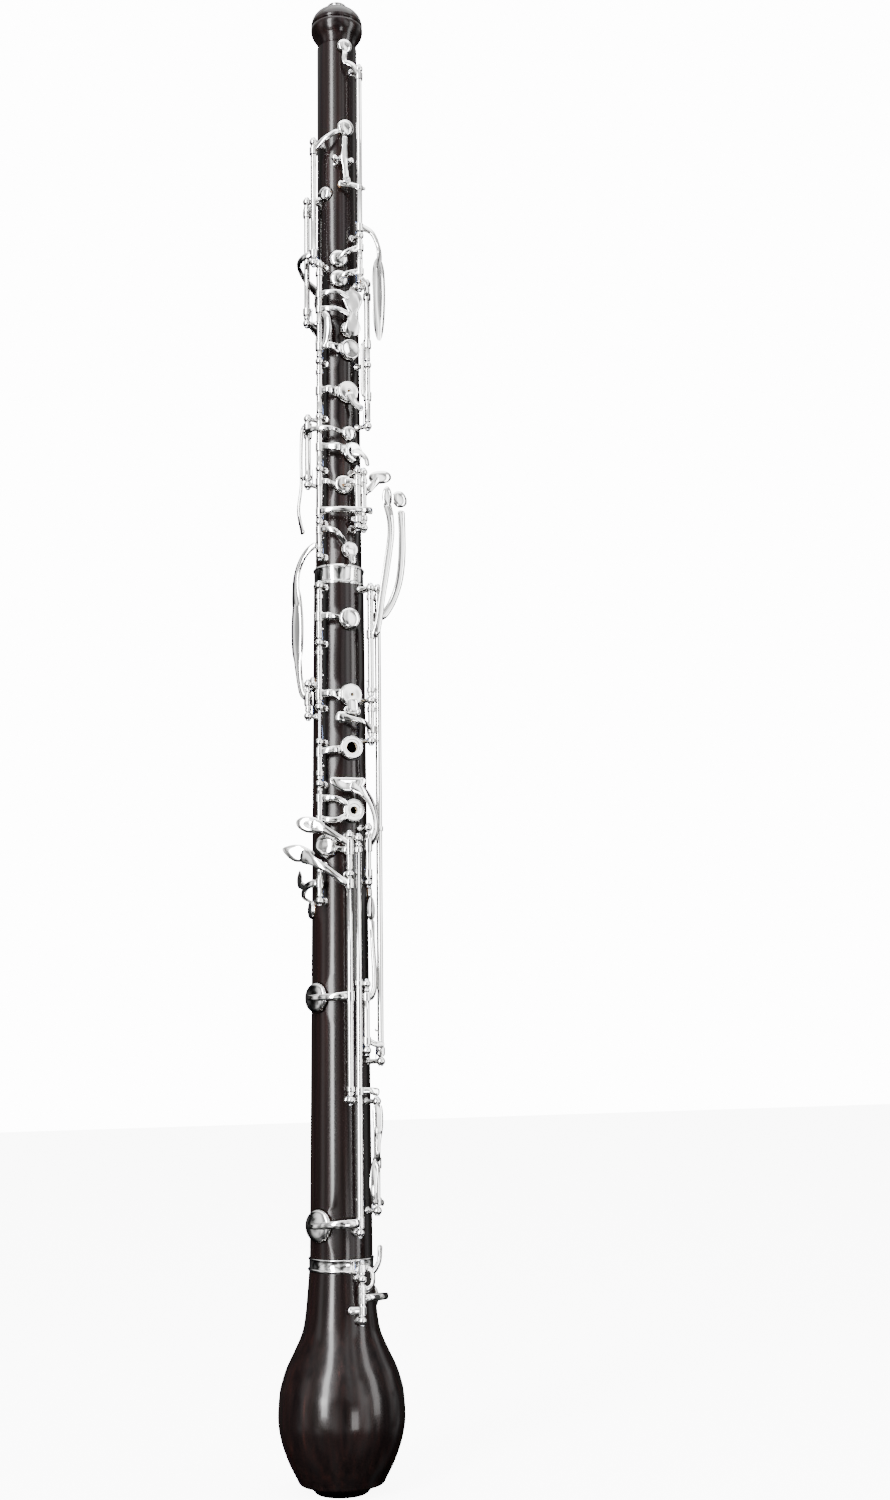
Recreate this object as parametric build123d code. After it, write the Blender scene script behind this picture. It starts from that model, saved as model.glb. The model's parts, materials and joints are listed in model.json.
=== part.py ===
from build123d import *
import math
import os

# Cor anglais (alto oboe), conservatoire key system, standing upright on its bell.
# Millimetres. +Z runs up the bore to the bocal socket, the origin is the centre of
# the bell mouth, and the line of finger holes faces -Y. Places on the body are
# given as (angle, radius, height): angle 0 is the front, and 90 is +X.

# ---- driving dimensions: body ----
TOP = 797.0                  # top of the crown
JOINT_TOP = 773.5            # where the top joint meets the crown
MIDDLE = 471.0               # where the top joint meets the lower joint
LOW = 113.6                  # where the lower joint meets the bell ring
BELL_TOP = 106.7             # where the bell ring meets the bell
TOP_JOINT_R = 11.1           # top joint's radius at its top
TOP_JOINT_LOW_R = 12.4       # and at its foot
TAPER_END = 671.0            # the top joint is straight above this height
LOWER_TOP_R = 13.4           # lower joint's radius at its top
LOWER_LOW_R = 15.95          # and at its foot
BELL_R = 31.85               # widest radius of the pear bell
MOUTH_R = 11.0               # radius of the bell mouth's opening
BORE_TOP_R = 2.6             # bore at the top of the top joint
BORE_LOW_R = 7.6             # bore at the foot of the lower joint
BOCAL_R = 3.6                # bocal socket
RECEIVER_R = 5.0             # metal tube that lines the bocal socket
RECEIVER_DEPTH = 8.0         # how far that tube goes into the top joint
MIDDLE_RING = 10.0           # height of the ring round the middle socket

# ---- driving dimensions: joints between the body's parts ----
MIDDLE_SOCKET_R = 9.5
MIDDLE_TENON = 22.0
BELL_SOCKET_R = 12.0
BELL_TENON = 21.0
CORK = 0.9
FIT = 0.05

# ---- driving dimensions: keywork ----
ROD_R = 0.9
TUBE_R = 1.65
ROD_GAP = 0.05
BALL_R = 2.3
STEM_R = 1.2
ARM_R = 1.25
KNUCKLE = 0.12               # an arm's bends stand this much proud of its bars
SINK = 1.0                   # how deep a pad's bed is cut below the wood's surface
SEAT_GAP = 0.1               # pad to bed when the key is shut
PAD_PROUD = 0.6              # pad stands this far out of its cup
PAD_DEPTH = 1.2              # and goes this far into it
CUP_WALL = 0.6
CUP_TOP = 2.5                # cup's height above its rim
CUP_ROUND = 1.1
BED_MARGIN = 0.6             # a pad's bed is this much wider than its cup
HOLE_SHARE = 0.62            # tone hole's radius, as a share of its cup's
BORE_SHARE = 0.9             # and the most it may be, as a share of the bore's
NEEDLE_R = 0.3


def at(angle, radius, z):
    a = math.radians(angle)
    return Vector(radius * math.sin(a), -radius * math.cos(a), z)


def facing(angle, radius, z):
    """A plane on the body's side, with its normal straight out."""
    return Plane(at(angle, radius, z), x_dir=(0, 0, 1), z_dir=at(angle, 1, 0))


def between(z, low, high):
    """low and high are (height, radius); the radius at z on the line joining them."""
    (z0, r0), (z1, r1) = low, high
    t = min(1.0, max(0.0, (z - z0) / (z1 - z0)))
    return r0 + (r1 - r0) * t


def wood_radius(z):
    """The body's outer radius under the keys."""
    if z > MIDDLE:
        return between(z, (MIDDLE, TOP_JOINT_LOW_R), (TAPER_END, TOP_JOINT_R))
    if z > LOW:
        return between(z, (LOW, LOWER_LOW_R), (MIDDLE - 10, LOWER_TOP_R))
    return between(z, (84.5, 18.3), (BELL_TOP, 16.3))


def bore_radius(z):
    return between(z, (LOW, BORE_LOW_R), (JOINT_TOP, BORE_TOP_R))


# ---- basic solids ----
def turned(points):
    """A solid of revolution about Z from its outline's (radius, height) points."""
    outline = make_face(Polyline(*[(r, 0, z) for r, z in points], close=True))
    return revolve(outline, Axis.Z)


def column(radius, low, high, centre=(0, 0)):
    return Pos(*centre, low) * Cylinder(radius, high - low, align=(Align.CENTER, Align.CENTER, Align.MIN))


def bar(p, q, radius, end_radius=None):
    """A round bar from p to q, tapered if it has an end radius."""
    frame = Plane(p, z_dir=q - p)
    length = (q - p).length
    low = (Align.CENTER, Align.CENTER, Align.MIN)
    if end_radius is None or abs(end_radius - radius) < 0.01:
        return frame * Cylinder(radius, length, align=low)
    return frame * Cone(radius, end_radius, length, align=low)


def ball(p, radius, pole=Vector(0, 0, 1)):
    return Plane(origin=p, z_dir=pole) * Sphere(radius)


def joined(solids):
    whole = solids[0]
    for solid in solids[1:]:
        whole = whole.fuse(solid)
    return whole


def limb(places, radius=ARM_R, end_radius=None):
    """A bent arm through places on the body, as bars with round knuckles."""
    end_radius = radius if end_radius is None else end_radius
    count = len(places) - 1
    radii = [radius + (end_radius - radius) * n / count for n in range(count + 1)]
    points = [at(*place) for place in places]
    solids = [bar(p, q, a, b) for p, q, a, b in zip(points, points[1:], radii, radii[1:])]
    ahead = points[2:] + points[-1:]
    for before, p, after, r in zip(points, points[1:], ahead, radii[1:]):
        solids.append(ball(p, r + KNUCKLE, after - before))
    return solids


def plate(angle, radius, z, long, wide, thick=1.6, turn=0):
    """An oval touch piece facing out, its long side up the body unless turned."""
    flat = extrude(Rot(0, 0, turn) * Ellipse(long / 2, wide / 2), thick)
    return facing(angle, radius, z) * flat


# ---- keywork pieces ----
def bed_radius(z):
    return wood_radius(z) - SINK


def cup(angle, z, radius):
    """A pad cup before its hollow is cut: a puck with a rounded crown, over its bed."""
    puck = column(radius, PAD_PROUD, PAD_PROUD + CUP_TOP)
    puck = fillet(puck.edges().sort_by(Axis.Z)[-1], CUP_ROUND)
    return facing(angle, bed_radius(z) + SEAT_GAP, z) * puck


def cup_hollow(angle, z, radius, vent=0.0):
    """What the pad's room, and the hole through the cup if there is one, take away."""
    hollow = column(radius - CUP_WALL, -2, PAD_PROUD + PAD_DEPTH)
    if vent:
        hollow = hollow.fuse(column(vent, -3, PAD_PROUD + CUP_TOP + 3))
    return facing(angle, bed_radius(z) + SEAT_GAP, z) * hollow


def pad(angle, z, radius, vent=0.0):
    """The pad in that cup, with the same hole."""
    outer = radius - CUP_WALL - 0.02
    disc = column(outer, 0, PAD_PROUD + PAD_DEPTH)
    if vent:
        disc -= column(vent, -1, 3)
    return facing(angle, bed_radius(z) + SEAT_GAP, z) * disc


def cup_top(z):
    return bed_radius(z) + SEAT_GAP + PAD_PROUD + CUP_TOP - 0.5


def reach(line, z, angle, z_end, lift=1.4, steps=4, radius=ARM_R, inset=0.0):
    """An arm from a hinge line at z round the body to a cup's crown."""
    start_angle, start_radius = LINES[line]
    places = [(start_angle, start_radius, z)]
    for n in range(1, steps + 1):
        t = n / steps
        bulge = lift * math.sin(math.pi * t)
        r = start_radius + (cup_top(z_end) + inset - start_radius) * t + bulge
        places.append((start_angle + (angle - start_angle) * t, r, z + (z_end - z) * t))
    return limb(places, radius, 0.8 * radius)


# Hinge lines, all upright: (angle, radius) of each.
LINES = {
    "upper_right": (24, 17.2),
    "upper_left": (-70, 17.2),
    "thumb_left": (-103, 17.0),
    "main_top": (-56, 17.2),
    "far_left": (-86, 18.0),
    "trill_right": (38, 18.6),
    "touch_inner": (13, 18.4),
    "touch_outer": (26, 18.4),
    "main_low": (-53, 19.2),
    "low_right": (35, 20.2),
    "outer_right": (47, 22.2),
    "front_inner": (-6, 19.6),
    "front_outer": (8, 19.8),
    "short_right": (28, 19.5),
    "side_left": (-80, 18.9),
    "thin_right": (21, 20.1),
    "link_right": (37, 21.6),
    "bell_line": (8, 21.5),
}

# Posts: the line each stands on, and its heights.
POSTS = {
    "top_joint_posts": [
        ("upper_right", (755, 656.5, 626.6)), ("upper_left", (711.5, 641)), ("thumb_left", (680.5, 609.5)),
        ("main_top", (638.5, 583.2, 552, 523, 493.6, 475)), ("far_left", (553, 516)),
        ("trill_right", (629.5, 583, 548.5)), ("touch_inner", (521.5, 490.8)), ("touch_outer", (521.5, 490.8)),
    ],
    "lower_joint_posts": [
        ("main_low", (458.2, 427.5, 393, 374.6, 352.6, 329.5, 310.5, 292)), ("low_right", (458.4, 397.6, 376)),
        ("outer_right", (458.4, 210.5)), ("front_inner", (325.5, 305.4, 191.5)),
        ("front_outer", (324, 126.5)), ("short_right", (330, 301.5)), ("side_left", (406.5, 389.5)),
        ("thin_right", (249.5, 216)), ("link_right", (190.5, 136.5)),
    ],
    "bell_posts": [("bell_line", (84.5, 104.3))],
}

# Rods that don't simply run from a line's lowest post to its highest.
ROD_BREAKS = {
    "main_low": [(329.5, 458.2), (292, 310.5)],
    "bell_line": [(84.5, 111)],
}
NO_NEEDLE = [("main_low", 310.5)]
ROD_END = 1.4                # a rod ends this far past its last post's centre

# The rocker's level axle, between two posts in front of the top joint.
ROCKER_Y = -14.4
ROCKER_Z = 700.0
ROCKER_X = -2.2
ROCKER_HALF = 4.8

OPEN = 4.5                   # degrees that shut a key that stands open
SHUT = 5.0                   # degrees that open a key that stands shut


class Key:
    """One key: its hinge line, the degrees that a press turns it, and its pieces, drawn shut.

    kind is open or shut, for how its pad stands at rest, or lever for a key with no pad.
    """

    def __init__(self, name, line, press, kind, solids, tubes, cups=(), pad_node=True):
        self.name = name
        self.line = line
        self.kind = kind
        self.press = press
        if kind != "lever":
            right_of_hinge = cups[0][0] > LINES[line][0]
            self.press = press if right_of_hinge == (kind == "open") else -press
        self.solids = solids
        self.tubes = tubes
        self.cups = list(cups)
        self.pad_node = pad_node

    def axis(self):
        return Axis(at(*LINES[self.line], 0), (0, 0, 1))

    def at_rest(self, solid):
        """An open key is turned back by its press."""
        return solid.rotate(self.axis(), -self.press) if self.kind == "open" else solid

    def metal(self):
        x, y, _ = at(*LINES[self.line], 0)
        solids = [column(TUBE_R, low, high, (x, y)) for low, high in self.tubes]
        solids += self.solids + [cup(*place[:3]) for place in self.cups]
        low = min(t[0] for t in self.tubes) - 4
        high = max(t[1] for t in self.tubes) + 4
        whole = joined(solids) - column(ROD_R + ROD_GAP, low, high, (x, y))
        for place in self.cups:
            whole -= cup_hollow(*place)
        return self.at_rest(whole)

    def pads(self):
        return [self.at_rest(pad(*place)) for place in self.cups]


def upper_keys():
    keys = [
        Key("side_octave_key", "upper_right", SHUT, "shut",
            limb([(24, 17.2, 750), (10, 16.8, 753), (-1, 14.6, 757), (2, 13.3, 768)], 1.2, 0.9)
            + limb([(24, 17.2, 661), (34, 20.4, 659), (42, 23.5, 655), (43, 25, 646), (42, 25.2, 640)],
                   1.4, 1.2)
            + [plate(42, 24.4, 620, 48, 8)],
            [(658.9, 752.6)], [(2, 769.7, 4.3)], False),
        Key("thumb_octave_key", "upper_left", SHUT, "shut",
            reach("upper_left", 706, 4, 720.7, 1.6)
            + limb([(-70, 17.2, 646), (-84, 20.8, 645), (-103, 22, 643), (-125, 19.4, 639),
                    (-150, 16.4, 634)], 1.4)
            + [plate(-163, 14.6, 629, 17, 11)],
            [(643.4, 709.1)], [(4, 720.7, 4.9)], False),
        Key("third_octave_key", "thumb_left", SHUT, "shut",
            limb([(-103, 17, 673), (-92, 15.4, 676), (-78, 13.5, 679), (-60, 13.1, 682)], 1.1, 0.8)
            + limb([(-103, 17, 616), (-120, 17.6, 614), (-140, 16, 611), (-155, 15.2, 609)], 1.4)
            + [plate(-166, 14.4, 605, 15, 11)],
            [(612, 678)], [(-57, 682.2, 4.0)], False),
        Key("upper_trill_key", "upper_right", SHUT, "shut",
            reach("upper_right", 649.5, -18, 643.4, 1.0), [(642.6, 654.1)], [(-18, 643.4, 4.9)], False),
        Key("lower_trill_key", "upper_right", SHUT, "shut",
            reach("upper_right", 635.5, -18, 631.8, 1.0), [(629, 642.3)], [(-18, 631.8, 4.9)], False),
        Key("trill_lever", "trill_right", 5, "lever",
            limb([(38, 18.6, 594), (28, 17.6, 594)], 1.2)
            + limb([(28, 17.6, 594), (28, 17.6, 566)], 0.9)
            + limb([(28, 17.6, 566), (38, 18.6, 566)], 1.2)
            + limb([(38, 18.6, 622), (27, 20.8, 627), (20, 20.4, 630)], 1.1),
            [(585.4, 627.1), (550.9, 580.6)]),
        Key("half_hole_key", "main_top", OPEN, "open",
            limb([(-56, 17.2, 621), (-30, 17, 621), (-8, 16.2, 620), (6, 15, 619)], 1.2)
            + limb([(-56, 17.2, 613), (-28, 17, 612), (-6, 16, 611), (6, 15, 610)], 1.2)
            + [plate(9, 13.6, 618, 12, 9), plate(8, 13.6, 609, 12, 6)],
            [(604.4, 636.1)], [(7, 602.5, 4.4, 0.8)], False),
        Key("first_finger_key", "main_top", OPEN, "open",
            reach("main_top", 591.5, 10, 591), [(585.6, 604.1)], [(10, 591, 5.9)]),
        Key("second_finger_key", "main_top", OPEN, "open",
            reach("main_top", 566.5, 4, 566.8, inset=-0.3)
            + limb([(8, 14.4, 563), (15, 15.6, 559), (24, 17, 557)], 1.2),
            [(554.4, 580.8)], [(4, 566.8, 6.0, 0.8)]),
        Key("c_trill_key", "far_left", SHUT, "shut",
            limb([(-86, 18, 544), (-74, 20.8, 544), (-56, 21.2, 544), (-32, 19.4, 544), (-8, 15.8, 544),
                  (8, 14.2, 544)], 1.2, 1.0)
            + limb([(-86, 18, 549), (-97, 20.4, 549), (-97, 20.4, 512), (-92, 22.6, 500),
                    (-84, 21.6, 489)], 0.9)
            + limb([(-97, 20.4, 520), (-86, 18, 520)], 0.9),
            [(518.4, 550.6)], [(8, 544, 4.2)], False),
        Key("third_finger_key", "main_top", OPEN, "open",
            reach("main_top", 535, 17, 533.2, inset=-0.3)
            + limb([(19, 14.4, 532.5), (27, 17.4, 531), (33, 18.6, 528), (34, 18.8, 525.5)], 1.1, 0.9),
            [(525.4, 549.6)], [(17, 533.2, 5.6, 0.8)]),
        Key("g_sharp_key", "main_top", SHUT, "shut",
            reach("main_top", 515.5, -7, 514.9)
            + limb([(-56, 17.2, 499), (-44, 19.4, 499), (-20, 19.6, 499), (2, 21, 499), (18, 22, 499.5),
                    (31, 21.8, 500)], 1.5, 1.2),
            [(496, 520.6)], [(-7, 514.9, 5.3)]),
        Key("bridge_key", "main_top", OPEN, "open",
            limb([(-56, 17.2, 489), (-36, 18.4, 488), (-14, 17.2, 484), (4, 14.6, 479.4)], 1.4, 1.2)
            + limb([(6, 14.4, 477.6), (6, 16.6, 471.5)], 1.1),
            [(477.4, 491.2)], [(6, 478.8, 4.5)], False),
        Key("g_sharp_touch", "touch_outer", 5, "lever",
            limb([(26, 18.4, 511), (36, 22, 513), (44, 24.2, 516.5)], 1.2)
            + [plate(47, 23.8, 517.5, 7, 13)],
            [(493.2, 519.1)]),
        Key("left_f_link", "touch_inner", 5, "lever",
            limb([(13, 18.4, 515), (2, 19.2, 515), (-8, 18.8, 515)], 1.1)
            + limb([(13, 18.4, 494.6), (4, 17.8, 494.6)], 1.0),
            [(493.2, 519.1)]),
    ]
    for key in keys:
        key.joint = "top"
    return keys


def lower_keys():
    keys = [
        Key("low_b_lever", "low_right", 4, "lever",
            limb([(35, 20.2, 433), (38, 23.4, 434), (40, 25.4, 450), (45, 28, 470), (49, 30.2, 490),
                  (49, 29.6, 500)], 1.5, 1.3)
            + [plate(50, 26.6, 508.3, 12.5, 6.5)] + limb([(49, 29.6, 500), (50, 27.6, 505)], 1.3),
            [(400, 456)]),
        Key("low_b_flat_lever", "outer_right", 4, "lever",
            limb([(47, 22.2, 443), (53, 26, 446), (55, 30, 454), (55, 33.5, 464), (54, 35, 476),
                  (53, 35.2, 502)], 1.5, 1.3)
            + [plate(53, 33.6, 507.5, 9, 8)]
            + limb([(47, 22.2, 215.6), (37, 23.4, 214)], 1.2),
            [(212.9, 456)]),
        Key("side_trill_lever", "side_left", SHUT, "shut",
            limb([(-80, 18.9, 399), (-90, 21, 402), (-93, 22.6, 410), (-92, 23, 420)], 1.3)
            + [plate(-92, 22.4, 438, 40, 7)]
            + limb([(-92, 23.2, 456), (-84, 23.6, 466), (-70, 22.6, 474), (-58, 21.4, 480)], 1.3, 1.0)
            + limb([(-80, 18.9, 397), (-94, 18.2, 403), (-104, 15.9, 408)], 1.1),
            [(391.9, 404.1)], [(-104, 408, 4.2)], False),
        Key("first_vent_key", "main_low", OPEN, "open",
            reach("main_low", 441.5, 3, 441.1), [(429.9, 455.8)], [(3, 441.1, 5.8)]),
        Key("right_first_finger_key", "main_low", OPEN, "open",
            reach("main_low", 400, 4, 399.9, inset=-0.3)
            + [plate(5, 14.6, 391.6, 5.5, 9, 1.8)],
            [(395.4, 425.1)], [(4, 399.9, 6.1, 0.8)]),
        Key("d_trill_key", "low_right", -4, "lever",
            limb([(35, 20.2, 382), (20, 21.4, 384), (0, 21, 386), (-14, 20.2, 387)], 1.3, 1.0)
            + [plate(-17, 19.2, 387, 6, 6)],
            [(378.4, 395.2)]),
        Key("right_second_finger_key", "main_low", OPEN, "open",
            reach("main_low", 369, -10, 371), [(355, 372.2)], [(4, 371.9, 6.2, 2.9)]),
        Key("f_key", "short_right", SHUT, "shut",
            [plate(-10, 19.6, 352, 8.5, 19, 2.2)]
            + limb([(2, 20.8, 350.5), (20, 21.6, 346), (34, 22.6, 338), (36, 22.8, 330), (32, 21.6, 324.5),
                    (28, 19.5, 321)], 1.4)
            + limb([(28, 19.5, 306.5), (40, 17.9, 304.5), (58, 17.8, 299), (74, 16.6, 297)], 1.0, 0.9),
            [(303.9, 327.6)], [(74, 297, 5.0)], False),
        Key("right_third_finger_key", "main_low", OPEN, "open",
            limb([(-53, 19.2, 344.5), (-30, 18.2, 344.5), (-8, 16.6, 343)], 1.3)
            + limb([(-53, 19.2, 334), (-30, 18.2, 334), (-8, 16.6, 335)], 1.3),
            [(331.9, 350.2)], [(7, 338.9, 6.0, 1.9)]),
        Key("low_c_key", "front_inner", OPEN, "open",
            limb([(-6, 19.6, 318), (-24, 18.6, 319), (-46, 15.9, 320.4)], 1.3, 1.1)
            + limb([(-6, 19.6, 320.6), (-22, 21, 324), (-40, 22.6, 328), (-54, 23.0, 330)], 1.3)
            + [plate(-61, 22.6, 330.5, 8, 13, 1.8, 15)],
            [(307.8, 323.1)], [(-48, 320.5, 6.2)]),
        Key("low_c_sharp_key", "front_inner", OPEN, "open",
            limb([(-6, 19.6, 300.5), (-28, 22, 305), (-52, 23.4, 311), (-70, 23.6, 315)], 1.4)
            + [plate(-80, 22.8, 316.5, 10, 14, 1.8, 15)]
            + limb([(-6, 19.6, 243.5), (-30, 19.4, 243), (-54, 18.4, 243), (-72, 16.5, 242.9)], 1.4, 1.1),
            [(193.9, 303)], [(-72, 242.9, 7.6)]),
        Key("e_flat_key", "main_low", SHUT, "shut",
            limb([(-53, 19.2, 301), (-70, 20.4, 300.5), (-86, 20.2, 297), (-96, 19.2, 292), (-98, 17, 288.6)],
                 1.3, 1.1)
            + limb([(-86, 20.2, 297), (-92, 22, 302)], 1.2) + [plate(-94, 21.2, 304, 9, 9, 1.6)],
            [(294.4, 308.1)], [(-98, 288.3, 4.9)], False),
        Key("low_b_key", "front_outer", OPEN, "open",
            limb([(8, 19.8, 131.4), (-16, 20, 131.2), (-44, 19.4, 130.4), (-65, 17.3, 129.8)], 1.5, 1.2)
            + limb([(8, 19.8, 196), (20, 22.4, 196), (30, 24.4, 195)], 1.2),
            [(128.9, 321.6)], [(-65, 129.7, 8.0)]),
        Key("low_b_link", "thin_right", 4, "lever",
            limb([(21, 20.1, 243), (29, 21.6, 244), (33, 22, 250), (32, 21, 262), (31, 20.8, 282)], 1.2, 1.0)
            + [plate(30, 20.2, 288, 13, 6)]
            + limb([(21, 20.1, 221), (32, 21.8, 219), (38, 24.9, 219)], 1.2),
            [(218.4, 247.1)]),
        Key("bell_link", "link_right", 4, "lever",
            [plate(33, 23.2, 181, 17, 5)]
            + limb([(37, 21.6, 184), (34, 23.6, 184)], 1.2)
            + limb([(37, 21.6, 160), (28, 22.6, 159), (24, 22.8, 150), (27, 22.8, 140)], 1.2)
            + limb([(37, 21.6, 141), (48, 22.4, 140)], 1.3),
            [(138.9, 188.1)]),
    ]
    for key in keys:
        key.joint = "lower"
    return keys


def bell_keys():
    keys = [
        Key("bell_key", "bell_line", SHUT, "shut",
            limb([(8, 21.5, 95), (34, 23, 95), (62, 22.6, 94), (86, 20.8, 93), (100, 18.6, 92.6)], 1.4, 1.2)
            + limb([(8, 21.5, 99.5), (20, 23.6, 100), (20, 23.6, 109), (8, 21.5, 109.5)], 1.1)
            + limb([(20, 23.6, 108), (32, 23.8, 112), (33, 23.8, 119)], 1.2)
            + limb([(8, 21.5, 89.5), (-8, 21.2, 89.5)], 1.3),
            [(86.9, 101.9), (106.7, 112.4)], [(100, 92.5, 6.0)]),
    ]
    for key in keys:
        key.joint = "bell"
    return keys


KEYS = upper_keys() + lower_keys() + bell_keys()


def tone_holes(joint):
    """Each pad's bed and hole, as the solids to cut from the wood."""
    cutters = []
    for key in KEYS:
        if key.joint == joint:
            for angle, z, radius, *_ in key.cups:
                bed = facing(angle, bed_radius(z), z)
                cutters.append(bed * column(radius + BED_MARGIN, 0, 9))
                hole = min(HOLE_SHARE * radius, BORE_SHARE * bore_radius(z))
                cutters.append(bed * column(hole, 0.5 - bed_radius(z), 1))
    return cutters


# ---- body ----
def crown():
    """Turned knob at the top, with a groove, round the bocal socket."""
    rim = Polyline((5.2, JOINT_TOP), (10.2, JOINT_TOP), (10.9, 775.5), (11.9, 778), (13.6, 780.4),
                   (14.5, 783), (14.5, 785.6), (13.9, 786.2), (14.3, 786.8), (14.3, 788.6))
    dome = ThreePointArc((14.3, 788.6), (11.9, 793.9), (6.6, TOP))
    inner = Polyline((6.6, TOP), (5.2, TOP), (5.2, JOINT_TOP))
    face = make_face(rim + dome + inner)
    return revolve(Plane.XZ * face, Axis.Z)


def bocal_receiver():
    """Metal tube lining the socket, standing a little out of the crown."""
    low = JOINT_TOP - RECEIVER_DEPTH
    return turned([(BOCAL_R, low), (RECEIVER_R, low), (RECEIVER_R, TOP), (5.5, TOP), (5.5, TOP + 2.4),
                   (5.1, TOP + 2.8), (BOCAL_R, TOP + 2.8)])


def top_joint():
    tenon_r = MIDDLE_SOCKET_R - FIT - CORK
    foot = MIDDLE - MIDDLE_TENON
    solid = turned([(0, foot), (tenon_r, foot), (tenon_r, MIDDLE), (TOP_JOINT_LOW_R, MIDDLE),
                    (TOP_JOINT_R, TAPER_END), (TOP_JOINT_R, JOINT_TOP - 0.8), (TOP_JOINT_R - 0.8, JOINT_TOP),
                    (0, JOINT_TOP)])
    bore = turned([(0, foot - 1), (bore_radius(foot), foot - 1), (BORE_TOP_R, JOINT_TOP + 1),
                   (0, JOINT_TOP + 1)])
    socket = column(RECEIVER_R + FIT, JOINT_TOP - RECEIVER_DEPTH, JOINT_TOP + 1)
    return solid - bore - socket


def tenon_cork(outer, top, length):
    low = top - length + 3
    return column(outer, low, top - 3) - column(outer - CORK, low - 1, top)


def lower_joint():
    """With the middle socket at its top and the bell tenon at its foot."""
    tenon_r = BELL_SOCKET_R - FIT - CORK
    foot = LOW - BELL_TENON
    ring_foot = MIDDLE - MIDDLE_RING
    solid = turned([(0, foot), (tenon_r, foot), (tenon_r, LOW), (LOWER_LOW_R, LOW), (LOWER_TOP_R, ring_foot),
                    (LOWER_TOP_R - 1.2, ring_foot), (LOWER_TOP_R - 1.2, MIDDLE), (0, MIDDLE)])
    socket = column(MIDDLE_SOCKET_R, MIDDLE - MIDDLE_TENON - 0.3, MIDDLE + 1)
    bore = turned([(0, foot - 1), (BORE_LOW_R, foot - 1), (BORE_LOW_R, LOW),
                   (bore_radius(MIDDLE - 25), MIDDLE - 20), (0, MIDDLE - 20)])
    return solid - socket - bore


def middle_ring():
    low, high, out = MIDDLE - MIDDLE_RING, MIDDLE, LOWER_TOP_R
    inner = LOWER_TOP_R - 1.2
    return turned([(inner, low), (out, low), (out + 0.2, low + 0.6), (out + 0.2, low + 1.8),
                   (out - 0.2, low + 2.4), (out - 0.2, high - 2.2), (out + 0.2, high - 1.6),
                   (out + 0.2, high - 0.6), (out - 0.2, high), (inner, high)])


def bell_ring():
    return turned([(BELL_SOCKET_R, BELL_TOP), (16.4, BELL_TOP), (17.0, BELL_TOP + 0.7),
                   (17.0, BELL_TOP + 2.0), (16.6, BELL_TOP + 2.6), (16.6, LOW - 1.0), (16.2, LOW),
                   (BELL_SOCKET_R, LOW)])


def bell():
    """Pear-shaped bell: a straight neck, a hollow bulb and a narrow mouth."""
    neck = Line((16.3, BELL_TOP), (17.35, 93.9))
    side = Spline((17.35, 93.9), (19.9, 76.5), (27.6, 60.0), (BELL_R, 38.0), (29.7, 23.6), (21.6, 5.6),
                  tangents=((0.09, -1), (-0.66, -0.75)))
    under = Polyline((21.6, 5.6), (17.4, 4.6), (13.0, 4.6), (13.0, 7.6), (12.5, 9.0))
    cavity = Spline((12.5, 9.0), (20.5, 20.0), (25.2, 40.0), (17.5, 64.0), (9.6, 86.0),
                    tangents=((0.75, 0.66), (-0.25, 1)))
    socket = Polyline((9.6, 86.0), (9.6, LOW - BELL_TENON - 0.3), (BELL_SOCKET_R, LOW - BELL_TENON - 0.3),
                      (BELL_SOCKET_R, BELL_TOP), (16.3, BELL_TOP))
    face = make_face(neck + side + under + cavity + socket)
    return revolve(Plane.XZ * face, Axis.Z)


def mouth_ring():
    """Bevelled metal ring that guards the bell's mouth and is what it stands on."""
    return turned([(MOUTH_R, 0), (12.6, 0), (13.6, 0.7), (17.2, 4.5), (13.0, 4.6), (12.9, 7.5), (12.4, 8.9),
                   (MOUTH_R, 8.0)])


def thumb_rest():
    """Curved hook for the right thumb, with a strap ring, at the lower joint's back."""
    z = 396
    r = wood_radius(z)
    base = facing(180, r - 0.6, z) * extrude(RectangleRounded(34, 11, 3), 2.2)
    base -= column(wood_radius(z) + 0.05, z - 30, z + 30)
    hook = limb([(180, r + 1, z + 6), (180, r + 6, z + 8), (180, r + 12, z + 8), (180, r + 17, z + 4)],
                2.2, 2.0)
    ring = Pos(0, r + 4.4, z - 13) * Rot(0, 90, 0) * Torus(3.4, 0.9)
    screws = [facing(180, r - 3, z + dz) * column(1.6, 0, 5.2) for dz in (13.5, -6)]
    return joined([base] + hook + [ring]) - joined(screws), screws


# ---- keywork that stays still ----
def post(line, z):
    """Threaded foot, stem and drilled ball."""
    angle, radius = LINES[line]
    foot = wood_radius(z) - 2.5
    stem = bar(at(angle, foot, z), at(angle, radius, z), STEM_R)
    flange = bar(at(angle, wood_radius(z) - 0.4, z), at(angle, wood_radius(z) + 0.7, z), 1.7, 1.4)
    x, y, _ = at(angle, radius, 0)
    hole = column(ROD_R + 0.01, z - 4, z + 4, (x, y))
    return joined([stem, flange, ball(at(angle, radius, z), BALL_R)]) - hole


def rocker_posts():
    solids = []
    for side in (-1, 1):
        top = Vector(ROCKER_X + side * ROCKER_HALF, ROCKER_Y, ROCKER_Z)
        inward = Vector(-top.X, -top.Y, 0).normalized()
        foot = top + inward * 7
        hole = Plane(top - Vector(4, 0, 0), z_dir=(1, 0, 0)) * column(ROD_R + 0.01, 0, 8)
        solids.append(joined([bar(foot, top, STEM_R), ball(top, 1.7)]) - hole)
    return solids


def posts(node):
    solids = [post(line, z) for line, heights in POSTS[node] for z in heights]
    if node == "top_joint_posts":
        solids += rocker_posts()
    return solids


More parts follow.
